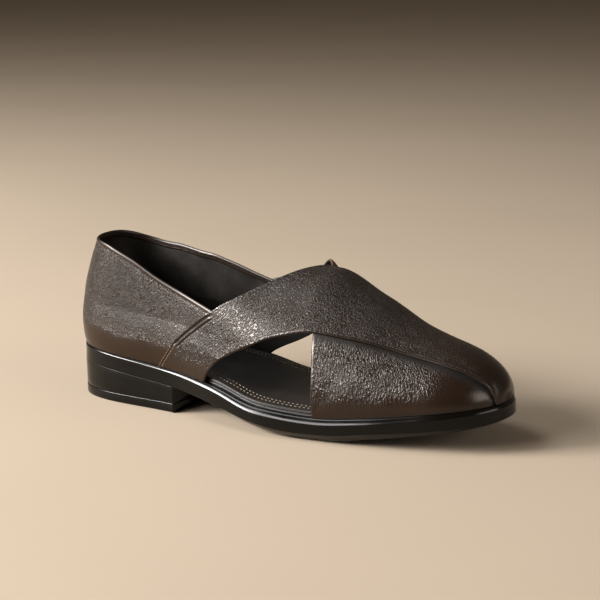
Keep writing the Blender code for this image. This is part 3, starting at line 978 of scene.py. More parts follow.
@dataclass
class Panel:
    """One leather part of the upper, as a thick sheet on the last."""

    last: Last
    leathers: Leathers
    columns: int = 300
    rows: int = 84
    edge_points: tuple[float, ...] = in_mm(0.0, 0.05, 0.18, 0.4, 0.7, 1.05, 1.45, 1.9, 2.4, 2.9,
                                           3.4, 3.9, 4.5)
    wall: float = 1.7 * MM
    inner_round: float = 0.6 * MM
    samples: int = 90
    # painted shade at the joint of upper and sole: its depth and the band it fades over
    foot_ink: float = 0.7
    foot_band: Band = (0.2 * MM, 1.2 * MM)

    def across(self, rear: tuple[np.ndarray, np.ndarray], front: tuple[np.ndarray, np.ndarray],
               lay: float) -> Grid:
        """Return a grid between two edges, with the distance of each point from both.

        Args:
            rear: share and girth of the rear edge at each column.
            front: the same for the front edge.
            lay: height at which distances are measured.

        Returns:
            share, girth, distance from the rear edge and from the front edge.
        """
        samples = np.linspace(0, 1, self.samples)[None, :]
        share = rear[0][:, None] + (front[0] - rear[0])[:, None] * samples
        girth = rear[1][:, None] + (front[1] - rear[1])[:, None] * samples
        line = self.last.point(share, girth, lay)
        steps = np.linalg.norm(np.diff(line, axis=1), axis=-1)
        travel = np.concatenate([np.zeros((len(steps), 1)), np.cumsum(steps, axis=1)], axis=1)
        width = travel[:, -1]
        wanted = crowded(self.rows, width, self.edge_points)
        part = np.empty_like(wanted)
        for place in range(len(travel)):
            part[place] = np.interp(wanted[place], travel[place], samples[0])
        share = rear[0][:, None] + (front[0] - rear[0])[:, None] * part
        girth = rear[1][:, None] + (front[1] - rear[1])[:, None] * part
        return share, girth, wanted, width[:, None] - wanted

    def layers(self, base: np.ndarray | float, roll_out: np.ndarray,
               roll_in: np.ndarray) -> tuple[np.ndarray, np.ndarray]:
        """Return the heights of the inner and the outer face above the last.

        Args:
            base: height of the inner face away from the edges.
            roll_out: share of half the wall that is left on the outer face.
            roll_in: the same for the inner face.

        Returns:
            The two heights, inner face first.
        """
        middle = base + self.wall / 2
        return middle - self.wall / 2 * roll_in, middle + self.wall / 2 * roll_out

    def above_sole(self, share: np.ndarray, girth: np.ndarray,
                   base: np.ndarray | float) -> np.ndarray:
        """Return the height of points above the sole."""
        along = share * self.last.length
        return self.last.point(share, girth, base)[..., 2] - self.last.top(along)

    def foot_shade(self, height: np.ndarray) -> np.ndarray:
        """Return the painted shade on the leather right above the sole, where it meets the sole."""
        return self.foot_ink * (1 - smooth(*self.foot_band, height))

    def sheet(self, share: np.ndarray, girth: np.ndarray, inside: np.ndarray,
              outside: np.ndarray, lining: np.ndarray, name: str,
              **values: np.ndarray) -> bpy.types.Object:
        """Return the closed sheet between two layers.

        Args:
            share: grid of places along the last.
            girth: grid of places round the last.
            inside: height of the inner face above the last.
            outside: height of the outer face.
            lining: true where the inner face shows lining.
            name: name of the object.
            values: values at the points of the grid.

        Returns:
            The sheet as an object.
        """
        outer = self.last.place(self.last.point(share, girth, outside))
        inner = self.last.place(self.last.point(share, girth, inside))
        columns, rows = share.shape
        size = columns * rows
        piece = Piece()
        both = np.concatenate([outer.reshape(-1, 3), inner.reshape(-1, 3)])
        number = np.arange(size).reshape(columns, rows)
        face_side = grid_faces(columns, rows)
        back_side = grid_faces(columns, rows, size, flip=True)
        borders = [
            wall_between(number[:, 0], number[:, 0] + size, flip=True),
            wall_between(number[:, -1], number[:, -1] + size),
            wall_between(number[0], number[0] + size),
            wall_between(number[-1], number[-1] + size, flip=True),
        ]
        faces = np.concatenate([face_side, back_side, *borders])
        lined = lining[:-1, :-1].ravel().astype(int)
        slots = np.concatenate([np.zeros(len(face_side), int), lined,
                                np.zeros(sum(len(b) for b in borders), int)])
        doubled = {key: np.concatenate([np.ravel(v), np.ravel(v)]) for key, v in values.items()}
        piece.add(both, faces, slots, **doubled)
        return piece.make(name, [self.leathers.face, self.leathers.lining])


def rolled(distance: np.ndarray, radius: float, weight: np.ndarray) -> np.ndarray:
    """Return the share of half a wall that is left near a rolled edge."""
    full = np.sqrt(np.clip(1 - (1 - np.clip(distance / radius, 0, 1)) ** 2, 0, 1))
    return 1 - weight * (1 - full)


class Fade(Enum):
    """How a crease ends across the leather."""

    RISE = "rises from the rear edge"
    BELL = "lies beside the front edge"


class Crease(NamedTuple):
    """A trough or ridge: depth, start and reach in mm, place and spread along the part."""

    depth: float
    place: float
    spread: float
    fade: Fade
    start: float
    reach: float


def creased(creases: Sequence[Crease], along: np.ndarray, rear: np.ndarray,
            front: np.ndarray) -> np.ndarray:
    """Return the relief that creases add.

    Args:
        creases: the creases of one part.
        along: place along the part at each point.
        rear: distance from its rear edge.
        front: distance from its front edge.

    Returns:
        The extra height at each point.
    """
    relief = 0.0
    for crease in creases:
        if crease.fade is Fade.RISE:
            across = smooth(crease.start * MM, crease.reach * MM, rear)
        else:
            across = hump(front, crease.start * MM, crease.reach * MM)
        relief = relief + crease.depth * MM * hump(along, crease.place, crease.spread) * across
    return relief


def beside(offset: float, distance: np.ndarray, share: np.ndarray,
           girth: np.ndarray) -> tuple[np.ndarray, np.ndarray]:
    """Return the line that runs a distance from an edge.

    Args:
        offset: that distance.
        distance: distance of each grid point from the edge, rising along each row.
        share: place of each grid point along the last.
        girth: its place round the last.

    Returns:
        The share and girth of the line's points.
    """
    spots = np.array([(np.interp(offset, row, along), np.interp(offset, row, round_))
                      for row, along, round_ in zip(distance, share, girth)])
    return spots[:, 0], spots[:, 1]


@dataclass
class CrossStrap(Panel):
    """The outer strap: from the outer quarter over the instep and round the toe."""

    low_lay: float = 0.9 * MM
    high_lay: float = 1.9 * MM
    lay_rise: Band = (0.12, 0.28)
    rows: int = 112
    edge_points: tuple[float, ...] = in_mm(
        0.0, 0.05, 0.15, 0.3, 0.5, 0.75, 1.05, 1.35, 1.65, 1.95, 2.25, 2.55, 2.9, 3.3, 3.7, 4.1,
        4.5, 4.8, 5.1, 5.4, 5.7, 6.0, 6.4, 6.9)
    rear_round: float = 1.0 * MM
    front_round: float = 1.5 * MM
    rear_tuck: Band = (0.585, 0.60)
    front_tuck: Band = (0.955, 0.975)
    front_lift: float = 0.85 * MM
    rear_lift: float = 0.25 * MM
    low_stitches: tuple[float, float] = (0.9 * MM, 3.1 * MM)
    channels: tuple[float, float] = (2.1 * MM, 5.4 * MM)
    channel_spreads: tuple[float, float] = (0.80 * MM, 0.55 * MM)
    channel_depth: float = 1.05 * MM
    channel_start: Band = (0.080, 0.098)
    channel_stop: Band = (0.203, 0.211)
    channel_end: float = 0.208
    sewn_width: Band = (6.0 * MM, 7.0 * MM)
    sewn_stop: Band = (0.208, 0.218)
    plain_foot: Band = (4 * MM, 19 * MM)
    brown_foot: Band = (8 * MM, 26 * MM)
    creases: tuple[Crease, ...] = (
        Crease(-0.30, 0.075, 0.022, Fade.RISE, 6, 14),
        Crease(0.22, 0.115, 0.020, Fade.RISE, 6, 14),
        Crease(-0.22, 0.160, 0.030, Fade.BELL, 8, 8),
        Crease(-0.30, 0.400, 0.035, Fade.BELL, 16, 12),
        Crease(0.25, 0.470, 0.030, Fade.BELL, 20, 14),
    )

    def grid(self, run: np.ndarray) -> Grid:
        """Return the strap's grid at places along it."""
        return self.across(edge(CROSS_REAR, run), edge(CROSS_FRONT, run), self.high_lay + self.wall)

    def base(self, run: np.ndarray) -> np.ndarray:
        """Return the height of the inner face above the last."""
        return self.low_lay + (self.high_lay - self.low_lay) * smooth(*self.lay_rise, run)

    def build(self) -> bpy.types.Object:
        """Build the strap.

        Returns:
            The strap.
        """
        run = np.linspace(0, 1, self.columns)
        share, girth, back, ahead = self.grid(run)
        run = run[:, None] + 0 * back
        base = self.base(run)
        free_rear = 1 - smooth(*self.rear_tuck, run)
        free_front = 1 - smooth(*self.front_tuck, run)
        inside, outside = self.layers(
            base,
            rolled(back, self.rear_round, free_rear) * rolled(ahead, self.front_round, free_front),
            rolled(back, self.inner_round, free_rear) * rolled(ahead, self.inner_round, free_front))
        lift = self.edge_lift(run, back, ahead) * free_front
        relief, dark = self.seam(run, back)
        outside = outside + lift + relief + creased(self.creases, run, back, ahead)
        height = self.above_sole(share, girth, base)
        low = 1 - smooth(*self.plain_foot, height)
        grain = (smooth(0.2 * MM, 1.8 * MM, back) * 0.8 + 0.2) ** free_rear
        grain = grain * (smooth(0.8 * MM, 2.6 * MM, ahead) * 0.85 + 0.15)
        grain = grain * (1 - 0.85 * smooth(0.80, 0.93, run)) * (1 - 0.35 * smooth(0.5, 0.75, run))
        sewn = (1 - smooth(*self.sewn_width, back)) * (1 - smooth(*self.sewn_stop, run))
        grain = grain * (1 - 0.9 * sewn)
        grain = grain * (1 - 0.92 * low * (1 - smooth(0.3, 0.5, run)))
        burnish = np.maximum(low, 0.45 * (1 - smooth(*self.brown_foot, height)))
        burnish = burnish * (1 - smooth(0.3, 0.6, run))
        burnish = np.maximum(burnish, 0.30 * smooth(0.42, 0.62, run))
        # edge ink and painted shade on the rolled front edge, painted shade in the channels and
        # just above the sole
        shade = 0.55 * (1 - smooth(0.0, 1.1 * MM, ahead)) * free_front
        shade = np.maximum(np.maximum(shade, dark), self.foot_shade(height))
        made = self.sheet(share, girth, inside + lift, outside, np.ones(share.shape, bool),
                          "cross_strap", grain=grain, burnish=burnish, dark=shade)
        return settle(made, "upper_leather", "upper")

    def edge_lift(self, run: np.ndarray, back: np.ndarray, ahead: np.ndarray) -> np.ndarray:
        """Return how far the strap's edges stand off what they cross.

        Args:
            run: place along the strap.
            back: distance from the rear edge.
            ahead: distance from the front edge.

        Returns:
            The lift at each point.
        """
        front = self.front_lift * hump(ahead, 0.0, 3.6 * MM) * smooth(0.30, 0.42, run)
        rear = self.rear_lift * hump(back, 0.0, 2.5 * MM) * smooth(0.22, 0.30, run)
        return (front * (1 - 0.35 * smooth(0.85, 0.93, run))
                + rear * (1 - smooth(*self.rear_tuck, run)))

    def seam(self, run: np.ndarray, back: np.ndarray) -> tuple[np.ndarray, np.ndarray]:
        """Return the two channels of the rear fold.

        Args:
            run: place along the strap.
            back: distance from the rear edge.

        Returns:
            The relief of the channels, and the painted shade in them.
        """
        first, second = self.channels
        full = smooth(*self.channel_start, run) * (1 - smooth(*self.channel_stop, run))
        low = smooth(0.0, 0.02, run) * (1 - smooth(0.08, 0.10, run))
        one = hump(back, first, self.channel_spreads[0])
        two = hump(back, second, self.channel_spreads[1])
        between = (smooth(first - 0.2 * MM, first, back)
                   * (1 - smooth(second, second + 0.2 * MM, back)))
        end = hump(run, self.channel_end, 0.0028) * between
        cut = np.maximum(np.maximum(0.95 * one, 0.85 * two) * full, 0.8 * end)
        cut = np.maximum(cut, 0.25 * hump(back, 2.0 * MM, 0.8 * MM) * low)
        ridge = 0.18 * MM * hump(back, 0.5 * MM, 0.45 * MM) * full
        # the second value is painted shade in the channels
        return ridge - self.channel_depth * cut, np.clip(0.95 * cut * (full + end), 0, 0.95)


@dataclass
class UnderStrap(Panel):
    """The strap below: from the inner quarter to the outer forefoot."""

    lay: float = 0.9 * MM
    peak: float = 5.4 * MM
    peak_run: float = 0.449
    peak_spread: float = 0.026
    peak_reach: float = 7.0 * MM
    columns: int = 360
    rows: int = 76
    rear_round: float = 1.1 * MM
    panel_round: float = 2.6 * MM
    panel_start: Band = (0.50, 0.58)
    rear_tuck: Band = (0.685, 0.70)
    front_tuck: Band = (0.985, 0.999)
    girth_length: float = 62 * MM
    trough_depth: float = 0.55 * MM
    trough_spread: float = 1.8 * MM
    shade_spread: float = 3.2 * MM
    plain_foot: Band = (3 * MM, 17 * MM)
    creases: tuple[Crease, ...] = (
        Crease(-0.28, 0.70, 0.018, Fade.RISE, 2, 10),
        Crease(0.20, 0.75, 0.020, Fade.RISE, 4, 14),
        Crease(-0.20, 0.83, 0.030, Fade.BELL, 12, 9),
    )

    def build(self) -> bpy.types.Object:
        """Build the strap.

        Returns:
            The strap.
        """
        run = np.linspace(0, 1, self.columns)
        share, girth, back, ahead = self.across(edge(UNDER_REAR, run), edge(UNDER_FRONT, run),
                                                self.lay + self.wall)
        run = run[:, None] + 0 * back
        corner = hump(run, self.peak_run, self.peak_spread) * hump(back, 0.0, self.peak_reach)
        base = self.lay + self.peak * corner
        free_rear = 1 - smooth(*self.rear_tuck, run)
        free_front = 1 - smooth(*self.front_tuck, run)
        thick_edge = smooth(*self.panel_start, run)
        roll_out = rolled(back, self.rear_round, free_rear * (1 - thick_edge))
        roll_out = roll_out * rolled(back, self.panel_round, free_rear * thick_edge)
        roll_out = roll_out * rolled(ahead, self.rear_round, free_front)
        roll_in = (rolled(back, self.inner_round, free_rear)
                   * rolled(ahead, self.inner_round, free_front))
        inside, outside = self.layers(base, roll_out, roll_in)
        cover = through([row.share for row in CROSS_FRONT], [row.girth for row in CROSS_FRONT],
                        share)
        reach = np.abs(girth - cover) * self.girth_length * (1 - 0.6 * smooth(0.8, 1.0, share))
        near = smooth(0.5, 0.62, run)
        trough = hump(reach, 0.0, self.trough_spread) * near
        outside = (outside - self.trough_depth * trough
                   + creased(self.creases, run, back, ahead))
        height = self.above_sole(share, girth, base)
        low = 1 - smooth(*self.plain_foot, height)
        burnish = np.maximum(0.45 * low, 0.25) * near
        burnish = np.maximum(burnish, 0.35 * (1 - near))
        grain = smooth(1.2 * MM, 3.6 * MM, back) ** free_rear * (0.06 + 0.94 * (1 - low))
        grain = grain * (1 - 0.85 * smooth(0.78, 0.96, share))
        grain = grain * (1 - 0.9 * hump(reach, 0.0, 2.6 * MM) * near)
        # painted shadow of the cross strap's front edge on the under strap, and painted shade just
        # above the sole
        shade = np.maximum(0.95 * hump(reach, 0.0, self.shade_spread) * near,
                           self.foot_shade(height))
        worn = 0.9 * hump(run, self.peak_run, 0.03) * hump(back, 0, 5 * MM)
        made = self.sheet(share, girth, inside, outside, np.ones(share.shape, bool),
                          "under_strap", grain=grain, burnish=burnish, worn=worn, dark=shade)
        return settle(made, "upper_leather", "upper")


@dataclass
class Quarter(Panel):
    """The quarter round the heel, with its folded collar and back seam."""

    wall: float = 1.6 * MM
    foot_end: float = 0.31
    fold: float = 3.5 * MM
    bead_height: float = 0.45 * MM
    lining_step: float = 0.35 * MM
    rim_round: float = 1.2 * MM
    rim_swell: float = 0.20 * MM
    rim_groove: float = 0.14 * MM
    rows: int = 78
    plain_foot: Band = (5 * MM, 24 * MM)
    brown_foot: Band = (20 * MM, 36 * MM)
    creases: tuple[Crease, ...] = (
        Crease(-0.35, -0.62, 0.10, Fade.BELL, 24, 12),
        Crease(0.25, -0.80, 0.06, Fade.BELL, 22, 14),
        Crease(-0.25, 0.66, 0.10, Fade.BELL, 26, 12),
    )

    def grid(self, turn: np.ndarray) -> Grid:
        """Return the quarter's grid at places round the heel.

        Args:
            turn: -1 at the outer end, 0 at the back seam, 1 at the inner end.

        Returns:
            share, girth, distance from the collar and from the foot.
        """
        side = np.where(turn < 0, -1.0, 1.0)
        foot = self.foot_end * turn**2
        end = COLLAR[-1].place * turn**2
        rim = column(COLLAR, "girth", side * end)
        return self.across((end, side * rim), (foot, side), self.wall)

    def build(self) -> bpy.types.Object:
        """Build the quarter.

        Returns:
            The quarter.
        """
        turn = np.linspace(-1, 1, self.columns)
        share, girth, down, up = self.grid(turn)
        turn = turn[:, None] + 0 * down
        whole = np.ones_like(down)
        inside, outside = self.layers(0.0, rolled(down, self.rim_round, whole),
                                      rolled(down, 0.8 * MM, whole))
        outside = outside + self.rim_swell * hump(down, 1.6 * MM, 1.2 * MM)
        outside = outside - self.rim_groove * hump(down, 3.7 * MM, 0.5 * MM)
        inside = inside - self.bead_height * hump(down, self.fold - 0.45 * MM, 0.4 * MM)
        inside = inside + self.lining_step * smooth(self.fold - 0.1 * MM, self.fold + 0.3 * MM,
                                                    down)
        outside = outside + self.relief(turn, down, up)
        height = self.above_sole(share, girth, 0.0)
        low = 1 - smooth(*self.plain_foot, height)
        grain = smooth(1.8 * MM, 4.6 * MM, down) * (1 - 0.94 * smooth(0.0, 0.9, low))
        burnish = np.maximum(low, 0.45 * (1 - smooth(*self.brown_foot, height)))
        burnish = np.maximum(burnish, 0.35 * hump(turn, 0.0, 0.16))
        # painted shade in the back seam groove and just above the sole; darker, matt leather within
        # 3 mm of the collar rim
        shade = np.maximum(0.75 * hump(turn, 0.0, 0.012) * smooth(MM, 3 * MM, down),
                           self.foot_shade(height))
        shade = np.maximum(shade, 0.40 * (1 - smooth(0.8 * MM, 3.0 * MM, down)))
        made = self.sheet(share, girth, inside, outside, down > self.fold - 0.15 * MM,
                          "quarter", grain=grain, burnish=burnish, dark=shade)
        return settle(made, "upper_leather", "upper")

    def relief(self, turn: np.ndarray, down: np.ndarray, up: np.ndarray) -> np.ndarray:
        """Return the back seam and the soft dents of the counter."""
        seam = -0.55 * MM * hump(turn, 0.0, 0.010) + 0.25 * MM * hump(np.abs(turn), 0.035, 0.018)
        return seam * smooth(0.5 * MM, 3 * MM, down) + creased(self.creases, turn, down, up)


class Ring(NamedTuple):
    """One level of a slab's edge; lean is the extra height at the inner side."""

    inset: object
    height: Callable
    lean: float = 0.0


def flat(height: float) -> Callable:
    """Return a level that is the same all along."""
    return lambda x: height + 0 * x


def spaced(reach: float, count: int, square: bool = False) -> np.ndarray:
    """Return stations that crowd towards the round ends.

    Args:
        reach: distance of the last one.
        count: number of stations.
        square: true where the far end is cut square.

    Returns:
        Distances from the heel.
    """
    turn = np.linspace(0, 1, count)
    if square:
        return reach * (1 - np.cos(turn * math.pi / 2))
    return reach * (1 - np.cos(turn * math.pi)) / 2


@dataclass
class Slab:
    """A closed layer of the bottom: rings round an outline, closed above and below."""

    last: Last
    count: int = 220
    reach: float | None = None
    bars: int = 10

    @property
    def stations(self) -> np.ndarray:
        """Work out the distances from the heel of the outline's points.

        Returns:
            The distances from the heel of the outline's points.
        """
        if self.reach is None:
            return spaced(self.last.length, self.count)
        return spaced(self.reach, self.count, square=True)

    def bank(self, y: np.ndarray, lean: float) -> np.ndarray:
        """Return the extra height of points that rise towards the inner side."""
        return lean * (1 + np.clip(2 * y / self.last.ball_width, -1, 1)) / 2

    def build(self, rings: Sequence[Ring], name: str, finish: bpy.types.Material,
              top_dip: Callable | None = None) -> bpy.types.Object:
        """Return the layer.

        Args:
            rings: levels of its edge, from the top down.
            name: name of the object.
            finish: its material.
            top_dip: extra height of the upper face by place and share across, or None.

        Returns:
            The closed layer.
        """
        stations = self.stations
        loops = []
        for ring in rings:
            outer, inner = self.last.outline(stations, ring.inset, self.reach)
            back = inner[1:][::-1] if self.reach is not None else inner[1:-1][::-1]
            loop = np.concatenate([outer, back])
            height = ring.height(loop[:, 0]) + self.bank(loop[:, 1], ring.lean)
            loops.append(np.column_stack([loop, height]))
        size = len(loops[0])
        piece = Piece()
        around = np.append(np.arange(size), 0)
        faces = [wall_between(around + level * size, around + (level + 1) * size, flip=True)
                 for level in range(len(loops) - 1)]
        piece.add(self.last.place(np.concatenate(loops)), np.concatenate(faces))
        for loop, ring, flip in ((loops[0], rings[0], True), (loops[-1], rings[-1], False)):
            station = np.arange(self.count)
            outer = loop[station]
            inner = loop[(size - station) % size]
            across = np.linspace(0, 1, self.bars + 1)[None, :, None]
            net = outer[:, None] + (inner - outer)[:, None] * across
            net[..., 2] = ring.height(net[..., 0]) + self.bank(net[..., 1], ring.lean)
            if flip and top_dip is not None:
                net[..., 2] += top_dip(net[..., 0], across[..., 0] + 0 * net[..., 0])
            piece.add(self.last.place(net), grid_faces(self.count, self.bars + 1, flip=not flip))
        return piece.make(name, [finish])


@dataclass
class Outsole:
    """The long sole with its polished shoulder, upright side and bevel."""

    last: Last
    finish: bpy.types.Material
    edge_round: float = 0.6 * MM
    heel_edge_round: float = 0.03 * MM
    shoulder_run: float = 0.7
    bevel_power: float = 1.35

    def edge(self, x: np.ndarray) -> np.ndarray:
        """Work out the lower edge, which is sharp above the heel block.

        Args:
            x: distance from the heel.

        Returns:
            The radius of the edge.
        """
        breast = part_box("heel_block")[1][0] - self.last.origin[0]
        wide = smooth(breast - 2 * MM, breast + 4 * MM, x)
        return self.heel_edge_round + (self.edge_round - self.heel_edge_round) * wide

    def build(self) -> bpy.types.Object:
        """Build the outsole.

        Returns:
            The outsole.
        """
        last = self.last
        slab = Slab(last)
        stations = slab.stations
        rings: list[Ring] = []
        for degrees in range(0, 91, 9):
            turn = math.radians(degrees)
            drop = 1 - math.cos(turn) ** (2 / self.bevel_power)
            inset = (self.shoulder_run * last.shoulder(stations)
                     * (1 - math.sin(turn) ** (2 / self.bevel_power)))
            rings.append(Ring(inset, lambda x, drop=drop: last.top(x) - last.shoulder(x) * drop))
        for part, inset in ((0.25, 0.08 * MM), (0.5, 0.14 * MM), (0.75, 0.10 * MM)):
            rings.append(Ring(inset, lambda x, part=part: self.side(x, part)))
        for degrees in range(0, 91, 30):
            turn = math.radians(degrees)
            rings.append(Ring(self.edge(stations) * (1 - math.cos(turn)), lambda x, turn=turn: (
                last.bottom(x, "edge") + self.edge(x) * (1 - math.sin(turn)))))
        for inset, part in ((2.5 * MM, 0.5), (5.0 * MM, 0.8), (9.0 * MM, 1.0)):
            rings.append(Ring(inset, lambda x, part=part: (1 - part) * last.bottom(x, "edge")
                              + part * last.bottom(x, "middle")))
        made = slab.build(rings, "outsole_dressed", self.finish)
        return settle(made, "sole", "outsole")

    def side(self, x: np.ndarray, part: float) -> np.ndarray:
        """Work out a level on the upright side.

        Args:
            x: distance from the heel.
            part: 0 under the shoulder, 1 at the lower edge.

        Returns:
            The height.
        """
        upper = self.last.top(x) - self.last.shoulder(x)
        lower = self.last.bottom(x, "edge") + self.edge(x)
        return upper + (lower - upper) * part


@dataclass
class Heel:
    """Heel block and top lift, cut square at the breast."""

    last: Last
    block_finish: bpy.types.Material
    lift_finish: bpy.types.Material
    lift_wall: float = 5.55 * MM
    taper: float = 0.4 * MM
    seat_gap: float = 0.02 * MM
    count: int = 80

    def build(self) -> list[bpy.types.Object]:
        """Build the block and the lift.

        Returns:
            The block and the lift.
        """
        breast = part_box("heel_block")[1][0] - self.last.origin[0]
        slab = Slab(self.last, self.count, breast)
        last = self.last

        def top(x: np.ndarray) -> np.ndarray:
            """Return the block's upper face, just under the outsole."""
            return last.bottom(x, "edge") - self.seat_gap

        block = [Ring(0.06 * MM, top), Ring(0.02 * MM, lambda x: top(x) - 0.10 * MM)]
        for part in (0.25, 0.5, 0.75, 1.0):
            block.append(Ring(self.taper * part + 0.04 * MM, lambda x, part=part: (
                top(x) + (self.lift_wall + 0.5 * MM - top(x)) * part)))
        wall = self.lift_wall
        block.append(Ring(self.taper + 0.35 * MM, flat(wall + 0.1 * MM)))
        lift = [Ring(self.taper + inset, flat(height)) for inset, height in (
            (0.28 * MM, wall + 0.05 * MM), (0.06 * MM, wall - 0.08 * MM), (0, wall - 0.30 * MM),
            (0, wall / 2), (0, 0.6 * MM), (0.2 * MM, 0.2 * MM), (0.6 * MM, 0.0))]
        return [
            settle(slab.build(block, "heel_block_dressed", self.block_finish), "heel",
                   "heel_block"),
            settle(slab.build(lift, "top_lift_dressed", self.lift_finish), "lift", "top_lift"),
        ]


@dataclass
class Insole:
    """The leather insole on its board, banked up to the arch."""

    last: Last
    leather: bpy.types.Material
    board: bpy.types.Material
    board_wall: float = 1.0 * MM
    wall: float = 1.6 * MM
    arch_bank: float = 2.6 * MM
    gap: float = 0.3 * MM
    hollow: float = 0.9 * MM

    @property
    def foot(self) -> float:
        """Return the height of the insole's underside above the sole."""
        return self.board_wall + 2 * self.gap

    def dip(self, across: np.ndarray) -> np.ndarray:
        """Return the shallow hollow of the footbed by share across."""
        return -self.hollow * np.sin(np.pi * np.clip(across, 0, 1)) ** 2

    def surface(self, x: np.ndarray, y: np.ndarray) -> np.ndarray:
        """Return the height of the upper face before its hollow."""
        bank = Slab(self.last).bank(y, self.arch_bank)
        return self.last.top(x) + self.foot + self.wall + bank

    def build(self) -> list[bpy.types.Object]:
        """Build the insole and its board.

        Returns:
            The insole and its board.
        """
        last = self.last
        slab = Slab(last, bars=18)
        stations = slab.stations

        def level(drop: float) -> Callable:
            """Return a height below the upper face of the outer edge."""
            return lambda x: last.top(x) + self.foot + self.wall - drop

        profile = ((2.6, 0.0), (1.5, 0.03), (0.8, 0.12), (0.35, 0.28), (0.08, 0.50), (0.0, 0.72),
                   (0.16, 0.82), (0.34, 0.90), (0.16, 0.98), (0.0, 1.10), (0.0, 1.35))
        rings = [Ring(last.inner_inset(stations, inset * MM), level(drop * MM), self.arch_bank)
                 for inset, drop in profile]
        rings.append(Ring(last.inner_inset(stations, 0.15 * MM), level(self.wall)))
        top = settle(slab.build(rings, "insole_dressed", self.leather,
                                lambda x, across: self.dip(across)), "insole_leather", "insole")
        fill = [Ring(last.inner_inset(stations, inset * MM),
                     lambda x, part=part: last.top(x) + part * self.foot + 0.02 * MM)
                for inset, part in ((0.25, 1.0), (0.55, 0.82), (0.45, 0.66), (0.75, 0.5),
                                    (0.45, 0.34), (0.55, 0.2), (0.25, 0.0))]
        base = settle(slab.build(fill, "insole_board_dressed", self.board), "board", "insole_board")
        return [top, base]


@dataclass
class StitchRow:
    """Stitches laid end to end along a line."""

    finish: bpy.types.Material
    length: float = 2.3 * MM
    pitch: float = 3.2 * MM
    radius: float = 0.32 * MM
    slant: float = 0.0
    sides: int = 6
    rings: int = 5

    def build(self, paths: Sequence[tuple[np.ndarray, np.ndarray]], name: str,
              slot: str) -> bpy.types.Object:
        """Return one object with the stitches of several lines.

        Args:
            paths: pairs of points along a line and the outward direction at each.
            name: name of the object.
            slot: handed on to settle, which does not use it.

        Returns:
            The stitches as one object.
        """
        piece = Piece()
        for points, ups in paths:
            steps = np.linalg.norm(np.diff(points, axis=0), axis=1)
            travel = np.concatenate([[0], np.cumsum(steps)])
            for start in np.arange(self.pitch / 2, travel[-1] - self.pitch / 2, self.pitch):
                middle, before, after, up = (
                    np.array([np.interp(at, travel, line[:, k]) for k in range(3)])
                    for at, line in ((start, points), (start - self.length / 2, points),
                                     (start + self.length / 2, points), (start, ups)))
                up = up / np.linalg.norm(up)
                if self.slant:
                    along = (after - before) / np.linalg.norm(after - before)
                    turned = (along * math.cos(self.slant)
                              + np.cross(up, along) * math.sin(self.slant))
                    before = middle - turned * self.length / 2
                    after = middle + turned * self.length / 2
                self.stitch(piece, before, after, up)
        return settle(piece.make(name, [self.finish]), slot)

    def stitch(self, piece: Piece, start: np.ndarray, stop: np.ndarray, up: np.ndarray) -> None:
        """Add one stitch.

        Args:
            piece: what it is added to.
            start: one end.
            stop: the other end.
            up: outward direction.
        """
        along = stop - start
        reach = np.linalg.norm(along)
        along = along / reach
        side = np.cross(up, along)
        side /= np.linalg.norm(side)
        up = np.cross(along, side)
        part = np.linspace(0, 1, self.rings)
        swell = np.sqrt(np.clip(1 - (2 * part - 1) ** 4, 0, 1))
        turn = np.linspace(0, 2 * np.pi, self.sides, endpoint=False)
        ring = np.cos(turn)[None, :, None] * side + np.sin(turn)[None, :, None] * up * 0.75
        body = (start + along * reach * part[:, None])[:, None] + ring * (
            self.radius * swell)[:, None, None]
        around = np.append(np.arange(self.sides), 0)
        faces = [wall_between(around + k * self.sides, around + (k + 1) * self.sides)
                 for k in range(self.rings - 1)]
        piece.add(body, np.concatenate(faces))


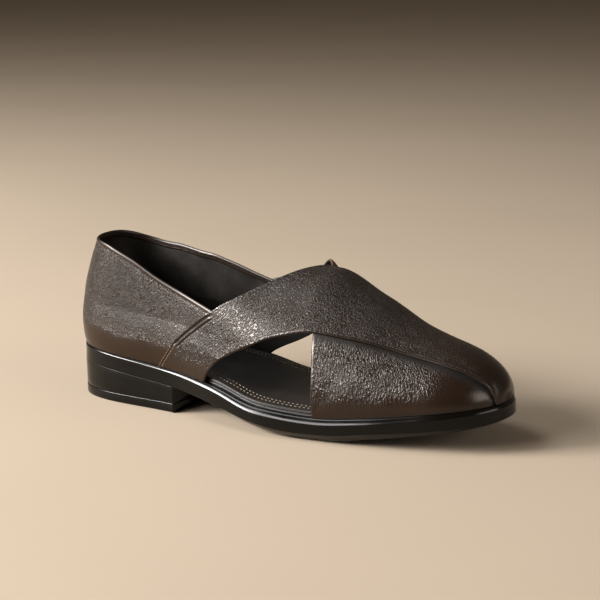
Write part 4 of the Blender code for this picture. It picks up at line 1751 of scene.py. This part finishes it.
@dataclass
class Stitching:
    """All visible thread."""

    last: Last
    insole: Insole
    strap: CrossStrap
    quarter: Quarter
    pale: bpy.types.Material
    tan: bpy.types.Material
    dark: bpy.types.Material
    front_offset: float = 2.0 * MM
    fold_offset: float = 1.7 * MM

    def build(self) -> list[bpy.types.Object]:
        """Return the stitch rows."""
        return [self.insole_rows(), self.seam_row(), self.ridge_row(), self.front_row(),
                self.collar_row()]

    def insole_rows(self) -> bpy.types.Object:
        """Build two rows along each side of the insole.

        Returns:
            Two rows along each side of the insole.
        """
        last = self.last
        stations = spaced(last.length, 260)
        edges = last.outline(stations, last.inner_inset(stations, 2.6 * MM))
        paths = []
        for inset in (4.6 * MM, 8.4 * MM):
            for line in last.outline(stations, last.inner_inset(stations, inset)):
                kept = line[12:-16]
                outer = np.interp(kept[:, 0], edges[0][:, 0], edges[0][:, 1])
                inner = np.interp(kept[:, 0], edges[1][:, 0], edges[1][:, 1])
                across = (kept[:, 1] - outer) / np.maximum(inner - outer, MM)
                height = (self.insole.surface(kept[:, 0], kept[:, 1]) + self.insole.dip(across)
                          + 0.05 * MM)
                points = last.place(np.column_stack([kept, height]))
                ups = np.tile((0.0, 0.0, 1.0), (len(points), 1))
                paths.append((points, ups))
        row = StitchRow(self.pale, length=1.9 * MM, pitch=2.8 * MM, radius=0.25 * MM)
        return row.build(paths, "insole_stitches", "insole_leather")

    def on_leather(self, spots: tuple[np.ndarray, np.ndarray],
                   lay: np.ndarray) -> tuple[np.ndarray, np.ndarray]:
        """Lay a line on the leather.

        Args:
            spots: share and girth of its points.
            lay: their height above the last.

        Returns:
            The points and the outward direction at each.
        """
        points = self.last.point(*spots, lay)
        above = self.last.point(*spots, lay + MM)
        return self.last.place(points), above - points

    def on_strap(self, run: np.ndarray, offset: float, lay: float) -> tuple[np.ndarray, np.ndarray]:
        """Lay a line beside the strap's rear edge.

        Args:
            run: places along the strap.
            offset: distance from the edge.
            lay: height above the leather.

        Returns:
            The points and the outward direction at each.
        """
        share, girth, back, _ = self.strap.grid(run)
        spots = beside(offset, back, share, girth)
        return self.on_leather(spots, self.strap.base(run) + self.strap.wall + lay)

    def seam_row(self) -> bpy.types.Object:
        """Build the stitches at the foot of the cross strap's rear fold.

        Returns:
            The stitches at the foot of the cross strap's rear fold.
        """
        run = np.linspace(0.004, 0.085, 60)
        lines = [self.on_strap(run, offset, -0.02 * MM) for offset in self.strap.low_stitches]
        row = StitchRow(self.tan, length=1.7 * MM, pitch=2.3 * MM, radius=0.22 * MM)
        return row.build(lines, "strap_seam_stitches", "upper_leather")

    def ridge_row(self) -> bpy.types.Object:
        """Build the stitches between the two channels of the rear fold.

        Returns:
            The stitches between the two channels of the rear fold.
        """
        middle = sum(self.strap.channels) / 2
        line = self.on_strap(np.linspace(0.095, 0.200, 80), middle, -0.12 * MM)
        row = StitchRow(self.dark, length=1.9 * MM, pitch=2.2 * MM, radius=0.30 * MM)
        return row.build([line], "strap_fold_stitches", "upper_leather")

    def front_row(self) -> bpy.types.Object:
        """Build the fine beaded stitches along the cross strap's front edge.

        Returns:
            The fine beaded stitches along the cross strap's front edge.
        """
        strap = self.strap
        run = np.linspace(0.36, 0.90, 220)
        share, girth, _, ahead = strap.grid(run)
        spots = beside(self.front_offset, ahead[:, ::-1], share[:, ::-1], girth[:, ::-1])
        offset = np.full_like(run, self.front_offset)
        lift = strap.edge_lift(run, offset * 20, offset)
        line = self.on_leather(spots, strap.base(run) + strap.wall + lift - 0.04 * MM)
        row = StitchRow(self.dark, length=1.3 * MM, pitch=1.75 * MM, radius=0.24 * MM)
        return row.build([line], "strap_front_stitches", "upper_leather")

    def collar_row(self) -> bpy.types.Object:
        """Build the slanted stitches inside the collar's fold.

        Returns:
            The slanted stitches inside the collar's fold.
        """
        share, girth, down, _ = self.quarter.grid(np.linspace(-0.99, 0.99, 400))
        spots = beside(self.fold_offset, down, share, girth)
        points = self.last.point(*spots, 0.02 * MM)
        above = self.last.point(*spots, MM)
        row = StitchRow(self.dark, length=2.0 * MM, pitch=1.7 * MM, radius=0.24 * MM,
                        slant=math.radians(52))
        return row.build([(self.last.place(points), points - above)], "collar_stitches",
                         "upper_leather")


class Lamp(NamedTuple):
    """A soft light: place, width and height in metres, power in watts, colour."""

    name: str
    place: tuple[float, float, float]
    size: tuple[float, float]
    power: float
    colour: Colour


@dataclass
class Studio:
    """Pale floor, soft lights and the camera at the photo's angle."""

    last: Last
    azimuth: float = math.radians(30)
    elevation: float = math.radians(12)
    distance: float = 1.10
    aim: tuple[float, float, float] = (0.1473, 0.0072, 0.0689)
    lens: float = 108.9
    floor_reach: float = 6.0
    room_light: Colour = (1.0, 0.80, 0.62)
    room_strength: float = 0.15
    lamps: tuple[Lamp, ...] = (
        Lamp("key", (-1.36, -1.50, 1.12), (2.3, 0.75), 116.0, (1.0, 0.985, 0.97)),
        Lamp("side", (-1.72, -1.30, 0.98), (0.9, 0.6), 140.0, (1.0, 0.985, 0.97)),
        Lamp("front", (1.75, -0.10, 0.60), (1.3, 0.8), 16.0, (1.0, 0.95, 0.90)),
        Lamp("above", (-0.95, -0.25, 1.75), (1.0, 0.6), 20.0, (0.97, 0.985, 1.0)),
    )

    def build(self) -> None:
        """Set the stage."""
        self.floor()
        self.lights()
        self.camera()

    def target(self) -> Vector:
        """Return the point the camera looks at."""
        return Vector(self.last.place(np.array(self.aim)).tolist())

    def floor(self) -> None:
        """Lay the floor."""
        reach = self.floor_reach
        mesh = bpy.data.meshes.new("floor")
        corners = [(-reach, -reach, 0), (reach, -reach, 0), (reach, reach, 0), (-reach, reach, 0)]
        mesh.from_pydata(corners, [], [(0, 1, 2, 3)])
        mesh.materials.append(PaleGround().build())
        ground = bpy.data.objects.new("floor", mesh)
        bpy.context.scene.collection.objects.link(ground)

    def hang(self, lamp: Lamp) -> None:
        """Hang a lamp so that it faces the shoe.

        Args:
            lamp: the lamp.
        """
        light = bpy.data.lights.new(lamp.name, "AREA")
        light.shape = "RECTANGLE"
        light.size, light.size_y = lamp.size
        light.energy = lamp.power
        light.color = lamp.colour
        made = bpy.data.objects.new(lamp.name, light)
        made.location = lamp.place
        facing = self.target() - Vector(lamp.place)
        made.rotation_euler = facing.to_track_quat("-Z", "Y").to_euler()
        bpy.context.scene.collection.objects.link(made)

    def lights(self) -> None:
        """Hang the lamps and set the even room light."""
        for lamp in self.lamps:
            self.hang(lamp)
        scene = bpy.context.scene
        scene.view_settings.view_transform = "Standard"
        world = scene.world or bpy.data.worlds.new("room")
        scene.world = world
        world.use_nodes = True
        back = world.node_tree.nodes["Background"]
        back.inputs["Color"].default_value = (*self.room_light, 1.0)
        back.inputs["Strength"].default_value = self.room_strength

    def camera(self) -> None:
        """Set the camera."""
        data = bpy.data.cameras.new("camera")
        data.lens = self.lens
        data.sensor_width = 36.0
        made = bpy.data.objects.new("camera", data)
        back = Vector((math.sin(self.azimuth) * math.cos(self.elevation),
                       -math.cos(self.azimuth) * math.cos(self.elevation),
                       math.sin(self.elevation)))
        target = self.target()
        made.location = target + back * self.distance
        made.rotation_euler = (-back).to_track_quat("-Z", "Y").to_euler()
        bpy.context.scene.collection.objects.link(made)
        bpy.context.scene.camera = made


LINING = SmoothLeather("lining_leather", (0.0056, 0.0043, 0.0033), (0.0125, 0.0100, 0.0078))
INSOLE_LEATHER = SmoothLeather("insole_leather", (0.0066, 0.0049, 0.0035),
                               (0.0120, 0.0088, 0.0062), roughness=0.40)
CROSS_LEATHER = PebbledLeather("cross_strap_leather", math.radians(40), ridges=1350.0)
UNDER_LEATHER = PebbledLeather("under_strap_leather", math.radians(-14), ridges=1100.0)
QUARTER_LEATHER = PebbledLeather("quarter_leather", math.radians(35), ridges=1500.0,
                                 stretch=0.75, height=0.26 * MM)
SOLE_RUBBER = PolishedRubber("sole_edge")
HEEL_RUBBER = PolishedRubber("heel_side", roughness=0.17, scuffs=0.4)
LIFT_RUBBER = PolishedRubber("lift_rubber", roughness=0.20, scuffs=0.4)
PALE_THREAD = Thread("pale_thread", (0.22, 0.17, 0.12))
TAN_THREAD = Thread("tan_thread", (0.20, 0.12, 0.055))
DARK_THREAD = Thread("dark_thread", (0.022, 0.014, 0.010))


def main() -> None:
    """Build and dress the shoe, then set the stage."""
    logging.basicConfig(level=logging.INFO, format="%(message)s")
    last = Last.from_frame()
    lining = LINING.build()
    strap = CrossStrap(last, Leathers(CROSS_LEATHER.build(), lining))
    under = UnderStrap(last, Leathers(UNDER_LEATHER.build(), lining))
    quarter = Quarter(last, Leathers(QUARTER_LEATHER.build(), lining))
    strap.build()
    under.build()
    quarter.build()
    insole = Insole(last, INSOLE_LEATHER.build(), RawEdge("board_edge").build())
    insole.build()
    Outsole(last, SOLE_RUBBER.build()).build()
    Heel(last, HEEL_RUBBER.build(), LIFT_RUBBER.build()).build()
    Stitching(last, insole, strap, quarter, PALE_THREAD.build(), TAN_THREAD.build(),
              DARK_THREAD.build()).build()
    Studio(last).build()


if __name__ == "__main__":
    main()
